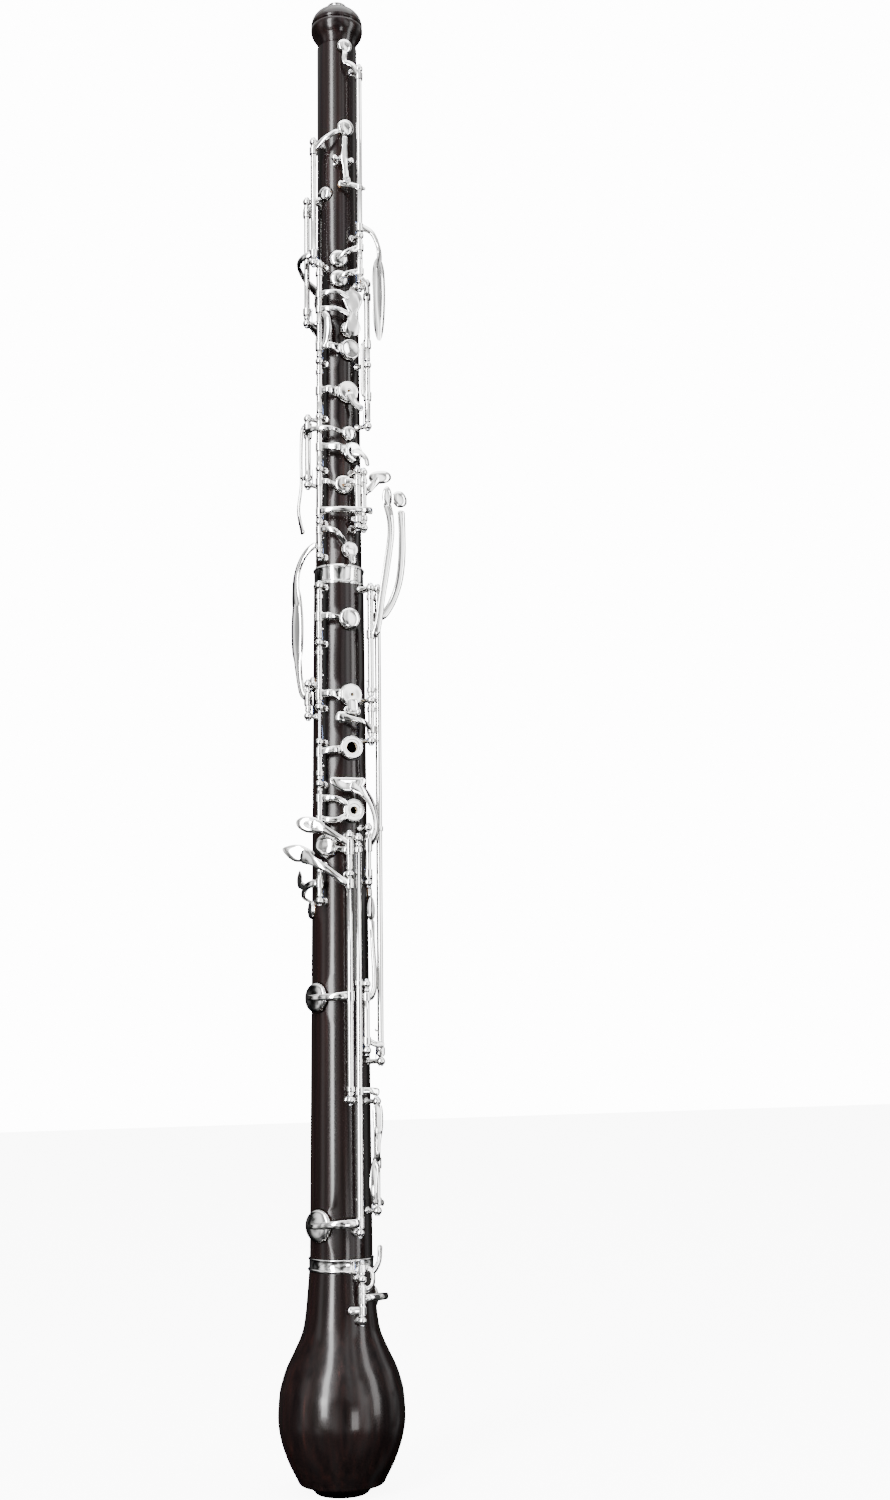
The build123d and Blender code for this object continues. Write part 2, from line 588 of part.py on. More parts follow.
def hinge_rods():
    """One steel rod for each run of a line, ending inside its last post's ball."""
    rods = []
    for node, lines in POSTS.items():
        for line, heights in lines:
            x, y, _ = at(*LINES[line], 0)
            low, high = min(heights), max(heights)
            runs = ROD_BREAKS.get(line, [(low, high)])
            for a, b in runs:
                rods.append(column(ROD_R, a - ROD_END, b + ROD_END, (x, y)))
    axle = Plane((ROCKER_X - ROCKER_HALF - 1.2, ROCKER_Y, ROCKER_Z), z_dir=(1, 0, 0))
    rods.append(axle * column(ROD_R, 0, 2 * ROCKER_HALF + 2.4))
    return rods


def octave_rocker():
    """Level-axled rocker that links the two octave keys."""
    hub = Plane((ROCKER_X - 2.5, ROCKER_Y, ROCKER_Z), z_dir=(1, 0, 0)) * column(TUBE_R, 0, 5)
    middle = Vector(ROCKER_X, -16.2, ROCKER_Z)
    upper = Vector(ROCKER_X + 0.6, -16.2, 711.5)
    lower = Vector(ROCKER_X + 1.4, -16, 688)
    bars = [bar(upper, middle, 1.0, 1.2), bar(middle, lower, 1.2, 1.0), ball(upper, 1.3), ball(middle, 1.5),
            bar(Vector(lower.X, -13.0, 686.8), Vector(lower.X, -17.2, 686.8), 1.7)]
    hole = Plane((ROCKER_X - 9, ROCKER_Y, ROCKER_Z), z_dir=(1, 0, 0)) * column(ROD_R + ROD_GAP, 0, 18)
    return joined([hub] + bars) - hole


def needle_springs():
    """Fine wires that run from the posts' stems under the keys' tubes."""
    needles = []
    for node, lines in POSTS.items():
        for line, heights in lines:
            angle, radius = LINES[line]
            for z in heights[1:]:
                if (line, z) in NO_NEEDLE:
                    continue
                r = radius - TUBE_R - 1.0
                needles.append(bar(at(angle, r, z), at(angle, r, z + 9), NEEDLE_R))
    return needles


def write(node, solids):
    solids = solids if isinstance(solids, list) else [solids]
    flat = [s for solid in solids for s in solid.solids()]
    shape = flat[0] if len(flat) == 1 else Compound(flat)
    export_step(shape, os.path.join("parts", node + ".step"))


def cut(solid, cutters):
    return solid.cut(*cutters) if cutters else solid


def build():
    """Every node's solids, by name."""
    rest, screws = thumb_rest()
    nodes = {
        "crown": crown(),
        "bocal_receiver": bocal_receiver(),
        "top_joint": cut(top_joint(), tone_holes("top")),
        "top_joint_cork": tenon_cork(MIDDLE_SOCKET_R - FIT, MIDDLE, MIDDLE_TENON),
        "middle_ring": middle_ring(),
        "lower_joint": cut(lower_joint(), tone_holes("lower")),
        "lower_joint_cork": tenon_cork(BELL_SOCKET_R - FIT, LOW, BELL_TENON),
        "bell_ring": bell_ring(),
        "bell": cut(bell(), tone_holes("bell")),
        "bell_mouth_ring": mouth_ring(),
        "thumb_rest": [rest] + screws,
        "hinge_rods": hinge_rods(),
        "needle_springs": needle_springs(),
        "octave_rocker": octave_rocker(),
    }
    for node in POSTS:
        nodes[node] = posts(node)
    for key in KEYS:
        pads = key.pads()
        if pads and key.pad_node:
            nodes[key.name] = key.metal()
            nodes[key.name.replace("_key", "") + "_pad"] = pads
        else:
            nodes[key.name] = [key.metal()] + pads
    return nodes


if __name__ == "__main__":
    os.makedirs("parts", exist_ok=True)
    for name, solids in build().items():
        write(name, solids)
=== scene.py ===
"""Looks of the cor anglais: wood, silver-plated keywork, pads, corks, rods and springs."""
import json
import math

import bpy
from mathutils import Matrix, Vector

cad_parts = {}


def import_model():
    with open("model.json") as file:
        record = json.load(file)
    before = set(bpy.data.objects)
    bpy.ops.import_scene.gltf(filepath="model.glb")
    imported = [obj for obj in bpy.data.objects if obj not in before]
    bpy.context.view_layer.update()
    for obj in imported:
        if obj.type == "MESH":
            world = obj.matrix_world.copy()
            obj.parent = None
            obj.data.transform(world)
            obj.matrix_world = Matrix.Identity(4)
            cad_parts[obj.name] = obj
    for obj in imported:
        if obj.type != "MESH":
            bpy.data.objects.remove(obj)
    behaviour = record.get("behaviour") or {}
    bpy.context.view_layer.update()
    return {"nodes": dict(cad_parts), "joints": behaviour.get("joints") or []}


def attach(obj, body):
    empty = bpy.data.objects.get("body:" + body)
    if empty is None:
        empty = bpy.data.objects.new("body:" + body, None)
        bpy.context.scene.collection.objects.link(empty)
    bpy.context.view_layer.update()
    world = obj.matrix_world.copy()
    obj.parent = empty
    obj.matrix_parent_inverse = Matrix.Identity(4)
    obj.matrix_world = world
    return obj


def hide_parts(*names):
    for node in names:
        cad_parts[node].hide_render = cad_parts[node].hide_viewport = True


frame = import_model()

MM = 0.001
NODES = frame["nodes"]
JOINTS = {j["child"]: j for j in frame["joints"]}
BODY = "body"

# Sizes shared with the CAD model, in millimetres. Heights run up from the mouth of the bell.
MIDDLE = 471.0          # where the top joint meets the lower joint
LOW = 113.6             # the lower joint's lower end
BELL_TOP = 106.7
JOINT_TOP = 773.5       # the top joint's upper end, under the crown
TOP = 797.0
TAPER_END = 671.0       # the top joint is straight above this
TOP_JOINT_R = 11.1
TOP_JOINT_LOW_R = 12.4
LOWER_TOP_R = 13.4
LOWER_LOW_R = 15.95
ROD_R = 0.9
ROD_GAP = 0.05
TUBE_R = 1.65
BALL_R = 2.3
SINK = 1.0              # how deep a cup's flat bed is cut into the wood
SEAT_GAP = 0.1
PAD_PROUD = 0.6         # how far a pad stands out of its cup
CUP_CEILING = PAD_PROUD + 1.2
CUP_CROWN = PAD_PROUD + 2.5
CUP_WALL = 0.6
ROCKER = Vector((-2.2, -14.4, 700.0))

OPEN = 4.5              # degrees that an open key stands off its seat
HEFT = 1.18             # how much stouter the forged arms are than the sizes given for them
SHARP_EDGE = 38         # degrees; a steeper fold than this stays crisp
FULL_TURN = 2 * math.pi

# The camera's level directions, for the camera and for the lights around it.
LOOK = Vector((0.4067, 0.9135, 0))
RIGHT = Vector((0.9135, -0.4067, 0))


# ---- places
def at(angle, radius, z):
    """A place on the instrument: angle from the front (-Y) towards +X."""
    a = math.radians(angle)
    return Vector((radius * math.sin(a), -radius * math.cos(a), z))


def outward(angle):
    return at(angle, 1, 0)


def between(z, low, high):
    (z0, r0), (z1, r1) = low, high
    t = min(1.0, max(0.0, (z - z0) / (z1 - z0)))
    return r0 + (r1 - r0) * t


def wood_radius(z):
    if z > MIDDLE:
        return between(z, (MIDDLE, TOP_JOINT_LOW_R), (TAPER_END, TOP_JOINT_R))
    if z > LOW:
        return between(z, (LOW, LOWER_LOW_R), (MIDDLE - 10, LOWER_TOP_R))
    return between(z, (84.5, 18.3), (BELL_TOP, 16.3))


def bed(z):
    """The radius of a pad's lower face when its key is shut."""
    return wood_radius(z) - SINK + SEAT_GAP


def facing(angle, radius, z, turn=0.0, lean=0.0):
    """Local z straight out, or leaned round the body, local x up it, then turned about local z."""
    n = outward(angle + lean)
    x = Vector((0, 0, 1))
    m = Matrix((x, n.cross(x), n)).transposed().to_4x4()
    return Matrix.Translation(at(angle, radius, z)) @ m @ Matrix.Rotation(math.radians(turn), 4, "Z")


def upright(angle, radius, z=0.0):
    return Matrix.Translation(at(angle, radius, z))


def quarter(axis):
    return Matrix.Rotation(math.radians(90), 4, axis)


def along(p, direction):
    """Local z along a direction, from p."""
    return Matrix.Translation(p) @ direction.to_track_quat("Z", "Y").to_matrix().to_4x4()


def hinge(body):
    """A key's hinge line, from its joint: (angle, radius)."""
    x, y, _ = JOINTS[body]["pos_m"]
    return math.degrees(math.atan2(x, -y)), math.hypot(x, y) / MM


# ---- meshes
class Piece:
    """Shells gathered into one mesh, with a material for each shell."""

    def __init__(self, name):
        self.name = name
        self.verts = []
        self.faces = []
        self.slots = []
        self.materials = []

    def add(self, shell, material):
        verts, faces = shell
        base = len(self.verts)
        if material not in self.materials:
            self.materials.append(material)
        slot = self.materials.index(material)
        self.verts += verts
        self.faces += [tuple(base + i for i in face) for face in faces]
        self.slots += [slot] * len(faces)

    def head(self, place, radius, height):
        """A slotted screw head."""
        for shell in slotted_head(place, radius, height):
            self.add(shell, STEEL)

    def make(self, body, slot, replaces, turn=0.0):
        """The finished object; turn swings it about its body's hinge first."""
        mesh = bpy.data.meshes.new(self.name)
        verts = self.verts
        if turn:
            x, y, _ = JOINTS[body]["pos_m"]
            pivot = Vector((x / MM, y / MM, 0))
            spin = Matrix.Translation(pivot) @ Matrix.Rotation(math.radians(turn), 4, "Z")
            spin = spin @ Matrix.Translation(-pivot)
            verts = [spin @ v for v in verts]
        mesh.from_pydata([v * MM for v in verts], [], self.faces)
        for material in self.materials:
            mesh.materials.append(material)
        mesh.polygons.foreach_set("material_index", self.slots)
        mesh.update()
        mesh.validate()
        mesh.shade_smooth()
        obj = bpy.data.objects.new(self.name, mesh)
        bpy.context.scene.collection.objects.link(obj)
        mesh.set_sharp_from_angle(angle=math.radians(SHARP_EDGE))
        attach(obj, body)
        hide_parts(*replaces)


def rings_to_shell(rings, closed_loop=False):
    """Quads between rings of equal size, as a closed loop of rings or with capped ends."""
    verts = [v for ring in rings for v in ring]
    n = len(rings[0])
    faces = []
    count = len(rings)
    for i in range(count if closed_loop else count - 1):
        j = (i + 1) % count
        for k in range(n):
            m = (k + 1) % n
            faces.append((i * n + k, i * n + m, j * n + m, j * n + k))
    if not closed_loop:
        faces.append(tuple(reversed(range(n))))
        faces.append(tuple((count - 1) * n + k for k in range(n)))
    return verts, faces


def lathe(profile, place, segments=40, closed=False):
    """Turns (radius, height) points about local z. A radius of 0 ends in a small flat cap."""
    rings = []
    for r, h in profile:
        r = max(r, 0.02)
        ring = []
        for k in range(segments):
            a = FULL_TURN * k / segments
            ring.append(place @ Vector((r * math.cos(a), r * math.sin(a), h)))
        rings.append(ring)
    return rings_to_shell(rings, closed_loop=closed)


def arc(centre, radius, start, end, steps=6):
    """Points of a profile's round corner, angles in degrees from the radial direction."""
    points = []
    for n in range(steps + 1):
        a = math.radians(start + (end - start) * n / steps)
        points.append((centre[0] + radius * math.cos(a), centre[1] + radius * math.sin(a)))
    return points


def spline(a, b, c, d, t):
    """Between b and c on the Catmull-Rom curve through four points."""
    return 0.5 * ((2 * b) + (c - a) * t + (2 * a - 5 * b + 4 * c - d) * t * t
                  + (3 * b - a - 3 * c + d) * t ** 3)


def curve_points(points, per_span=7):
    """A smooth line through the points."""
    padded = [2 * points[0] - points[1]] + list(points) + [2 * points[-1] - points[-2]]
    out = []
    for i in range(1, len(padded) - 2):
        out += [spline(*padded[i - 1:i + 3], n / per_span) for n in range(per_span)]
    out.append(points[-1].copy())
    return out


def smooth_step(sizes, t):
    """Sizes are evenly spaced along a limb; the size at t, from 0 to 1."""
    x = t * (len(sizes) - 1)
    i = min(int(x), len(sizes) - 2)
    f = x - i
    f = f * f * (3 - 2 * f)
    return sizes[i] + (sizes[i + 1] - sizes[i]) * f


def strap(points, widths, thicks, sides=14, square=2.6, lean=0.0):
    """A forged arm: a flattened bar along a smooth line, with rounded ends.

    Its flat side faces out from the instrument's axis, or is leaned round it.
    """
    leaned = Matrix.Rotation(math.radians(lean), 3, "Z")
    line = curve_points(points)
    lengths = [0.0]
    for p, q in zip(line, line[1:]):
        lengths.append(lengths[-1] + (q - p).length)
    total = lengths[-1]
    cap = [0.15, 0.4, 0.66, 0.85, 0.96]
    bulge = [(s, 0.7 * math.sqrt(1 - s * s)) for s in cap]
    stations = [(0, s, -widths[0] / 2 * b) for s, b in bulge]
    stations += [(i, 1.0, 0.0) for i in range(len(line))]
    stations += [(len(line) - 1, s, widths[-1] / 2 * b) for s, b in reversed(bulge)]
    rings = []
    for i, shrink, shift in stations:
        before, after = line[max(i - 1, 0)], line[min(i + 1, len(line) - 1)]
        tangent = (after - before).normalized()
        p = line[i] + tangent * shift
        radial = leaned @ Vector((p.x, p.y, 0)).normalized()
        side = tangent.cross(radial)
        if side.length < 0.2:  # the arm runs straight out here
            side = tangent.cross(Vector((0, 0, 1)))
        side.normalize()
        up = side.cross(tangent).normalized()
        t = lengths[i] / total
        w = smooth_step(widths, t) / 2 * shrink
        h = smooth_step(thicks, t) / 2 * shrink
        ring = []
        for k in range(sides):
            a = FULL_TURN * k / sides
            c, s = math.cos(a), math.sin(a)
            x = math.copysign(abs(c) ** (2 / square), c) * w
            y = math.copysign(abs(s) ** (2 / square), s) * h
            ring.append(p + side * x + up * y)
        rings.append(ring)
    return rings_to_shell(rings)


def outline_radius(a, long, wide, shape):
    """The distance to a touch piece's edge at angle a, whose long side is local x."""
    c, s = math.cos(a), math.sin(a)
    power = 2.3  # a little squarer than an ellipse
    r = (abs(c / (long / 2)) ** power + abs(s / (wide / 2)) ** power) ** (-1 / power)
    if shape == "drop":
        r *= 1 - 0.2 * max(0.0, c) ** 2 * abs(s) - 0.12 * (1 + c) * abs(s)
    return r


def slab(place, edge, thick, dish, rim, power):
    """A plate inside the edge: flat below, rounded at the rim, crowned or dished on top."""
    rounding = 0.42
    profile = [(0.02, 0), (0.6, 0)] + [(s, h * thick) for s, h in rim] + [(1, rounding * thick)]
    for n in range(1, 9):
        s = 1 - n / 8 * 0.98
        crown = rounding + (1 - rounding) * (1 - s ** power)
        profile.append((s, thick * crown - dish * (1 - s * s) ** 2))
    return rings_to_shell([[place @ Vector((x * s, y * s, h)) for x, y in edge] for s, h in profile])


def pebble(place, long, wide, thick, shape="oval", dish=0.0):
    """A polished touch piece, oval or drop-shaped."""
    segments = 44
    edge = []
    for k in range(segments):
        a = FULL_TURN * k / segments
        r = outline_radius(a, long, wide, shape)
        edge.append((r * math.cos(a), r * math.sin(a)))
    return slab(place, edge, thick, dish, [(0.9, 0.05), (0.975, 0.2)], 3)


def plaque(place, controls, thick, dish=0.0):
    """A plate whose edge is a smooth closed curve through the control points.

    Points that end on local x are one half of the outline, and are mirrored across it.
    """
    per_span = 6
    if controls[-1][1] == 0:
        controls = controls + [(x, -y) for x, y in reversed(controls[1:-1])]
    ring = [Vector(point) for point in controls]
    n = len(ring)
    edge = [spline(*(ring[(i + k - 1) % n] for k in range(4)), m / per_span)
            for i in range(n) for m in range(per_span)]
    return slab(place, edge, thick, dish, [(0.92, 0.04), (0.98, 0.2)], 4)


def tube_shell(angle, radius, low, high):
    """A key's hinge tube, with its bore, chamfered ends and a faint collar at each."""
    inner, waist, collar, end = ROD_R + ROD_GAP, TUBE_R - 0.03, TUBE_R + 0.06, TUBE_R - 0.12
    band, step = min(1.3, (high - low) / 5), 0.15
    profile = [(inner, low), (end, low), (collar, low + step), (collar, low + band),
               (waist, low + band + step), (waist, high - band - step), (collar, high - band),
               (collar, high - step), (end, high), (inner, high)]
    return lathe(profile, upright(angle, radius), 28, closed=True)


def collar_shell(angle, radius, z, wide=2.6, outer=2.15):
    inner, low, high, bevel = TUBE_R - 0.2, z - wide / 2, z + wide / 2, 0.25
    profile = [(inner, low), (outer - bevel, low), (outer, low + bevel), (outer, high - bevel),
               (outer - bevel, high), (inner, high)]
    return lathe(profile, upright(angle, radius), 28, closed=True)


def cup_inside(radius, vent):
    """The start of a cup's profile: its ceiling over the pad, and its wall."""
    return [(vent, CUP_CEILING), (radius - CUP_WALL, CUP_CEILING), (radius - CUP_WALL, PAD_PROUD)]


def cup_shell(angle, z, radius):
    """A pad cup: beaded rim, waist and domed crown, hollow below for the pad."""
    bead, wall, shoulder = 0.22, radius - 0.16, PAD_PROUD + 0.9
    profile = cup_inside(radius, 0) + arc((radius - bead, PAD_PROUD + bead), bead, -90, 60, 5)
    profile += [(wall, PAD_PROUD + 0.6)]
    for n in range(13):
        rise = n / 12 * math.pi / 2
        height = shoulder + (CUP_CROWN - shoulder) * math.sin(rise) ** 0.9
        profile.append((wall * math.cos(rise) ** 0.8, height))
    return lathe(profile, facing(angle, bed(z), z), 48)


def ring_cup_shell(angle, z, radius, vent):
    """A ring key: a broad polished ring with a step down to its open middle."""
    step, bead, shoulder = vent + 0.33 * (radius - vent), 0.3, 0.9
    profile = cup_inside(radius, vent) + arc((radius - bead, PAD_PROUD + bead), bead, -90, 0, 4)
    profile += arc((radius - shoulder, CUP_CROWN - shoulder), shoulder, 0, 90, 6)
    profile += [(step + 0.35, CUP_CROWN), (step + 0.1, CUP_CROWN - 0.2), (step, CUP_CROWN - 0.45),
                (vent + 0.25, CUP_CROWN - 0.5), (vent, CUP_CROWN - 0.75)]
    return lathe(profile, facing(angle, bed(z), z), 48, closed=True)


def plateau_shell(angle, z, radius, vent=0.0):
    """A finger plate: a cup with a broad, slightly dished top and a rolled edge."""
    bead, roll, dish, rim = 0.3, 0.85, 0.3, radius - 1.15
    profile = cup_inside(radius, vent) + arc((radius - bead, PAD_PROUD + bead), bead, -90, 30, 5)
    profile += [(radius - 0.32, PAD_PROUD + 0.8), (radius - 0.3, CUP_CROWN - 1.2)]
    profile += arc((rim, CUP_CROWN - roll), roll, 0, 90, 7)
    for n in range(1, 8):
        r = vent + (rim - vent) * (1 - n / 7)
        profile.append((r, CUP_CROWN - dish * (1 - (r / rim) ** 2) ** 1.5))
    if vent:
        last = profile.pop()[1]
        profile += [(vent + 0.3, last + 0.12), (vent + 0.08, last + 0.05), (vent, last - 0.25)]
    return lathe(profile, facing(angle, bed(z), z), 48, closed=bool(vent))


def pad_shell(angle, z, radius, vent=0.0):
    """A skin-covered pad, a little crowned, with the ring pressed in by its seat."""
    outer = radius - CUP_WALL - 0.02
    vent = vent + 0.35 if vent else 0
    seat = min(0.62 * radius, 7.0)
    profile = [(vent, 0.02), (seat - 0.5, 0), (seat - 0.25, 0.09), (seat + 0.05, 0.09), (seat + 0.3, 0)]
    profile += arc((outer - 0.35, 0.35), 0.35, -90, 0, 4)
    profile += [(outer, CUP_CEILING), (vent, CUP_CEILING)]
    return lathe(profile, facing(angle, bed(z), z), 40, closed=bool(vent))


def slotted_head(place, radius, height):
    """A screw's head: a disc with two half-round lands that leave the slot between them."""
    shells = [lathe([(0, 0), (radius, 0), (radius, height * 0.5), (0, height * 0.5)], place, 24)]
    slot = radius * 0.18
    for side in (1, -1):
        edge = math.asin(slot / radius)
        outline = []
        for n in range(13):
            a = edge + (math.pi - 2 * edge) * n / 12
            outline.append((radius * math.cos(a), side * radius * math.sin(a)))
        levels = [(0.45 * height, 1.0), (0.85 * height, 1.0), (height, 0.88)]
        rings = [[place @ Vector((x * s, side * slot + (y - side * slot) * s, h)) for x, y in outline]
                 for h, s in levels]
        if side < 0:
            rings = [list(reversed(ring)) for ring in rings]
        shells.append(rings_to_shell(rings))
    return shells


# ---- materials
class Graph:
    """A node tree, with short ways to add the nodes that the looks need."""

    def __init__(self, tree):
        self.nodes = tree.nodes
        self.link = tree.links.new

    def node(self, kind, **values):
        """A new node, with its inputs set by name (_ for a space)."""
        node = self.nodes.new("ShaderNode" + kind)
        for name, value in values.items():
            node.inputs[name.replace("_", " ")].default_value = value
        return node

    def ramp(self, source, stops):
        """Colours, or tones of grey, by the source's value."""
        node = self.node("ValToRGB")
        elements = node.color_ramp.elements
        while len(elements) < len(stops):
            elements.new(0.5)
        for element, (position, colour) in zip(elements, stops):
            element.position = position
            element.color = (*colour, 1) if isinstance(colour, tuple) else (colour, colour, colour, 1)
        self.link(source, node.inputs["Fac"])
        return node.outputs["Color"]

    def math(self, operation, *values):
        """A math node on sockets and numbers."""
        node = self.node("Math")
        node.operation = operation
        for socket, value in zip(node.inputs, values):
            if isinstance(value, (int, float)):
                socket.default_value = value
            else:
                self.link(value, socket)
        return node.outputs[0]


class Look(Graph):
    """A material, whose main surface is set by name."""

    def __init__(self, name):
        self.material = bpy.data.materials.new(name)
        self.material.use_nodes = True
        super().__init__(self.material.node_tree)
        self.surface = self.nodes["Principled BSDF"].inputs

    def noise(self, scale, detail, stretch=(1, 1, 1), rough=0.6):
        """Noise in the model's own metres, stretched along an axis by a smaller factor."""
        mapping = self.node("Mapping", Scale=stretch)
        noise = self.node("TexNoise", Scale=scale, Detail=detail, Roughness=rough)
        self.link(self.node("TexCoord").outputs["Object"], mapping.inputs["Vector"])
        self.link(mapping.outputs["Vector"], noise.inputs["Vector"])
        return noise.outputs["Fac"]

    def vary(self, name, source, stops):
        """Drives the surface's colour or roughness by a noise."""
        self.link(self.ramp(source, stops), self.surface[name])

    def bump(self, source, strength, distance):
        node = self.node("Bump", Strength=strength, Distance=distance)
        self.link(source, node.inputs["Height"])
        self.link(node.outputs["Normal"], self.surface["Normal"])

    def done(self, **values):
        """The material, with the constant values that are set on its surface."""
        for name, value in values.items():
            self.surface[name.replace("_", " ")].default_value = value
        return self.material


def grenadilla():
    """Polished grenadilla: near black, with long reddish-brown streaks and fine pores."""
    look = Look("grenadilla_polished")
    streaks = look.noise(1.0, 7, (330, 330, 7), 0.62)
    look.vary("Base Color", streaks, [(0.30, (0.0035, 0.0026, 0.0028)), (0.52, (0.007, 0.0042, 0.004)),
                                      (0.64, (0.011, 0.005, 0.0045)), (0.78, (0.024, 0.0085, 0.0065))])
    look.vary("Roughness", streaks, [(0.3, 0.16), (0.75, 0.27)])
    look.bump(look.noise(1.0, 4, (2600, 2600, 60), 0.7), 0.10, 0.00005)
    return look.done(Coat_Weight=0.12, Coat_Roughness=0.04, Specular_IOR_Level=0.22)


def silver(name, tint, low, high, grain=1500):
    """Bright plate, with the faint unevenness of hand polish and soft handling marks."""
    look = Look(name)
    polish = look.noise(90, 5, (1, 1, 0.6), 0.6)
    look.vary("Base Color", polish, [(0.3, tuple(0.93 * c for c in tint)), (0.6, tint)])
    look.vary("Roughness", polish, [(0.35, low), (0.7, high)])
    look.bump(look.noise(grain, 3, (1, 1, 0.35), 0.55), 0.035, 0.00003)
    return look.done(Metallic=1.0)


def cork():
    look = Look("cork_sheet")
    cells = look.noise(900, 6, rough=0.7)
    look.vary("Base Color", cells, [(0.32, (0.16, 0.075, 0.035)), (0.5, (0.42, 0.24, 0.12)),
                                    (0.7, (0.60, 0.39, 0.22))])
    look.bump(cells, 0.5, 0.0002)
    return look.done(Roughness=0.85)


def skin():
    """Pad skin: a pale gold membrane over felt, finely wrinkled."""
    look = Look("pad_membrane")
    folds = look.noise(420, 5)
    look.vary("Base Color", folds, [(0.3, (0.62, 0.47, 0.28)), (0.7, (0.83, 0.71, 0.50))])
    look.bump(folds, 0.25, 0.0001)
    return look.done(Roughness=0.42, Sheen_Weight=0.2)


GRENADILLA = grenadilla()
SILVER = silver("silver_plate", (0.94, 0.935, 0.92), 0.05, 0.12)
STEEL = silver("polished_steel", (0.62, 0.64, 0.68), 0.14, 0.26, 3000)
BLUED = silver("blued_spring_steel", (0.16, 0.20, 0.34), 0.18, 0.3, 3000)
CORK = cork()
SKIN = skin()


# ---- body
def keep(name, material, sharp=None):
    """A CAD node whose shape stays takes a material, and smooth shading up to an edge's angle."""
    mesh = NODES[name].data
    mesh.materials.clear()
    mesh.materials.append(material)
    if sharp:
        mesh.shade_smooth()
        mesh.set_sharp_from_angle(angle=math.radians(sharp))


def turned(name, profile, segments, material, slot, node):
    """A static piece turned about the instrument's own axis."""
    piece = Piece(name)
    piece.add(lathe(profile, Matrix.Identity(4), segments, closed=True), material)
    piece.make(BODY, slot, [node])


def crown_piece():
    profile = [(5.25, JOINT_TOP), (10.0, JOINT_TOP), (10.35, JOINT_TOP + 0.5), (10.7, 775.2),
               (11.3, 777.2), (12.4, 779.0), (13.5, 780.6), (14.2, 782.2), (14.5, 783.8), (14.5, 785.4),
               (14.25, 785.9), (13.75, 786.2), (13.85, 786.5), (14.3, 786.9), (14.42, 787.6), (14.3, 788.6)]
    profile += arc((4.4, 786.9), 10.0, 10, 76, 12)
    profile += [(6.3, TOP - 0.15), (5.9, TOP), (5.25, TOP)]
    turned("crown_turned", profile, 96, GRENADILLA, "grenadilla", "crown")


def receiver_piece():
    low = JOINT_TOP - 8
    profile = [(3.6, low), (5.0, low), (5.0, TOP), (5.45, TOP + 0.1), (5.5, TOP + 0.5), (5.2, TOP + 0.8),
               (5.2, TOP + 1.7), (5.5, TOP + 2.0), (5.5, TOP + 2.4), (5.2, TOP + 2.75), (4.3, TOP + 2.8),
               (3.8, TOP + 2.6), (3.6, TOP + 2.2)]
    turned("bocal_receiver_tube", profile, 64, SILVER, "silver_plate", "bocal_receiver")


def ring_pieces():
    low, high, out = MIDDLE - 10, MIDDLE, LOWER_TOP_R
    inner = out - 1.19
    profile = [(inner, low), (out, low)] + arc((out - 0.1, low + 0.75), 0.45, -80, 80, 6)
    profile += [(out - 0.15, low + 1.5), (out - 0.2, low + 2.4), (out - 0.2, high - 2.6)]
    profile += arc((out - 0.1, high - 1.1), 0.5, -80, 80, 6) + [(out - 0.3, high), (inner, high)]
    turned("middle_socket_ring", profile, 96, SILVER, "silver_plate", "middle_ring")

    profile = [(12.0, BELL_TOP), (16.3, BELL_TOP)] + arc((16.35, BELL_TOP + 0.95), 0.65, -80, 80, 6)
    profile += [(16.3, BELL_TOP + 1.9), (16.35, LOW - 1.4)]
    profile += arc((16.2, LOW - 0.7), 0.5, -60, 90, 6) + [(12.0, LOW)]
    turned("bell_socket_ring", profile, 96, SILVER, "silver_plate", "bell_ring")

    profile = [(11.0, 0.3), (11.3, 0.0), (12.6, 0.0), (13.3, 0.45), (14.2, 1.5), (15.5, 3.0), (16.7, 4.1),
               (17.2, 4.5), (13.0, 4.58), (12.9, 7.5), (12.4, 8.85), (11.0, 8.0)]
    turned("bell_mouth_guard", profile, 96, SILVER, "silver_plate", "bell_mouth_ring")


def smooth_profile(points, per_span):
    return [(p.x, p.z) for p in curve_points([Vector((r, 0, z)) for r, z in points], per_span)]


def bell_piece():
    """The pear bell, turned from smooth curves, hollow as the CAD one is."""
    outer = [(16.3, BELL_TOP), (16.8, 100.3), (17.35, 93.9), (18.3, 84.5), (19.9, 76.5), (23.6, 68.1),
             (27.6, 60.0), (29.85, 53.3), (31.1, 47.8), (31.8, 38.5), (31.5, 31.8), (29.7, 23.6),
             (26.3, 14.7), (22.6, 7.6), (21.6, 5.6)]
    inner = [(12.5, 9.0), (17.0, 13.6), (21.2, 21.0), (24.4, 32.0), (25.0, 42.0), (22.6, 54.0),
             (17.5, 64.0), (12.6, 74.0), (9.6, 86.0)]
    profile = smooth_profile(outer, 5)
    profile += [(21.0, 4.9), (20.0, 4.65), (17.4, 4.6), (13.0, 4.62), (13.0, 7.6)]
    profile += smooth_profile(inner, 3)
    profile += [(9.6, 92.3), (12.0, 92.3), (12.0, BELL_TOP)]
    turned("bell_pear", profile, 128, GRENADILLA, "grenadilla", "bell")


for joint in ("top_joint", "lower_joint"):
    keep(joint, GRENADILLA, 35)
    keep(joint + "_cork", CORK)
keep("thumb_rest", SILVER, 40)
crown_piece()
receiver_piece()
ring_pieces()
bell_piece()


# ---- keywork
def to_cup(places, angle, z, radius):
    """The places up to a cup, then one in its side, so that the arm joins it below its crown."""
    def offset(place):
        return Vector((math.radians(place[0] - angle) * bed(z), place[2] - z))

    kept = [p for p in places if offset(p).length > radius + 1.0]
    side = offset(kept[-1]).normalized() * (radius - 0.7)
    height = bed(z) + PAD_PROUD + 1.45
    return kept + [(angle + math.degrees(side.x / bed(z)), height, z + side.y)]


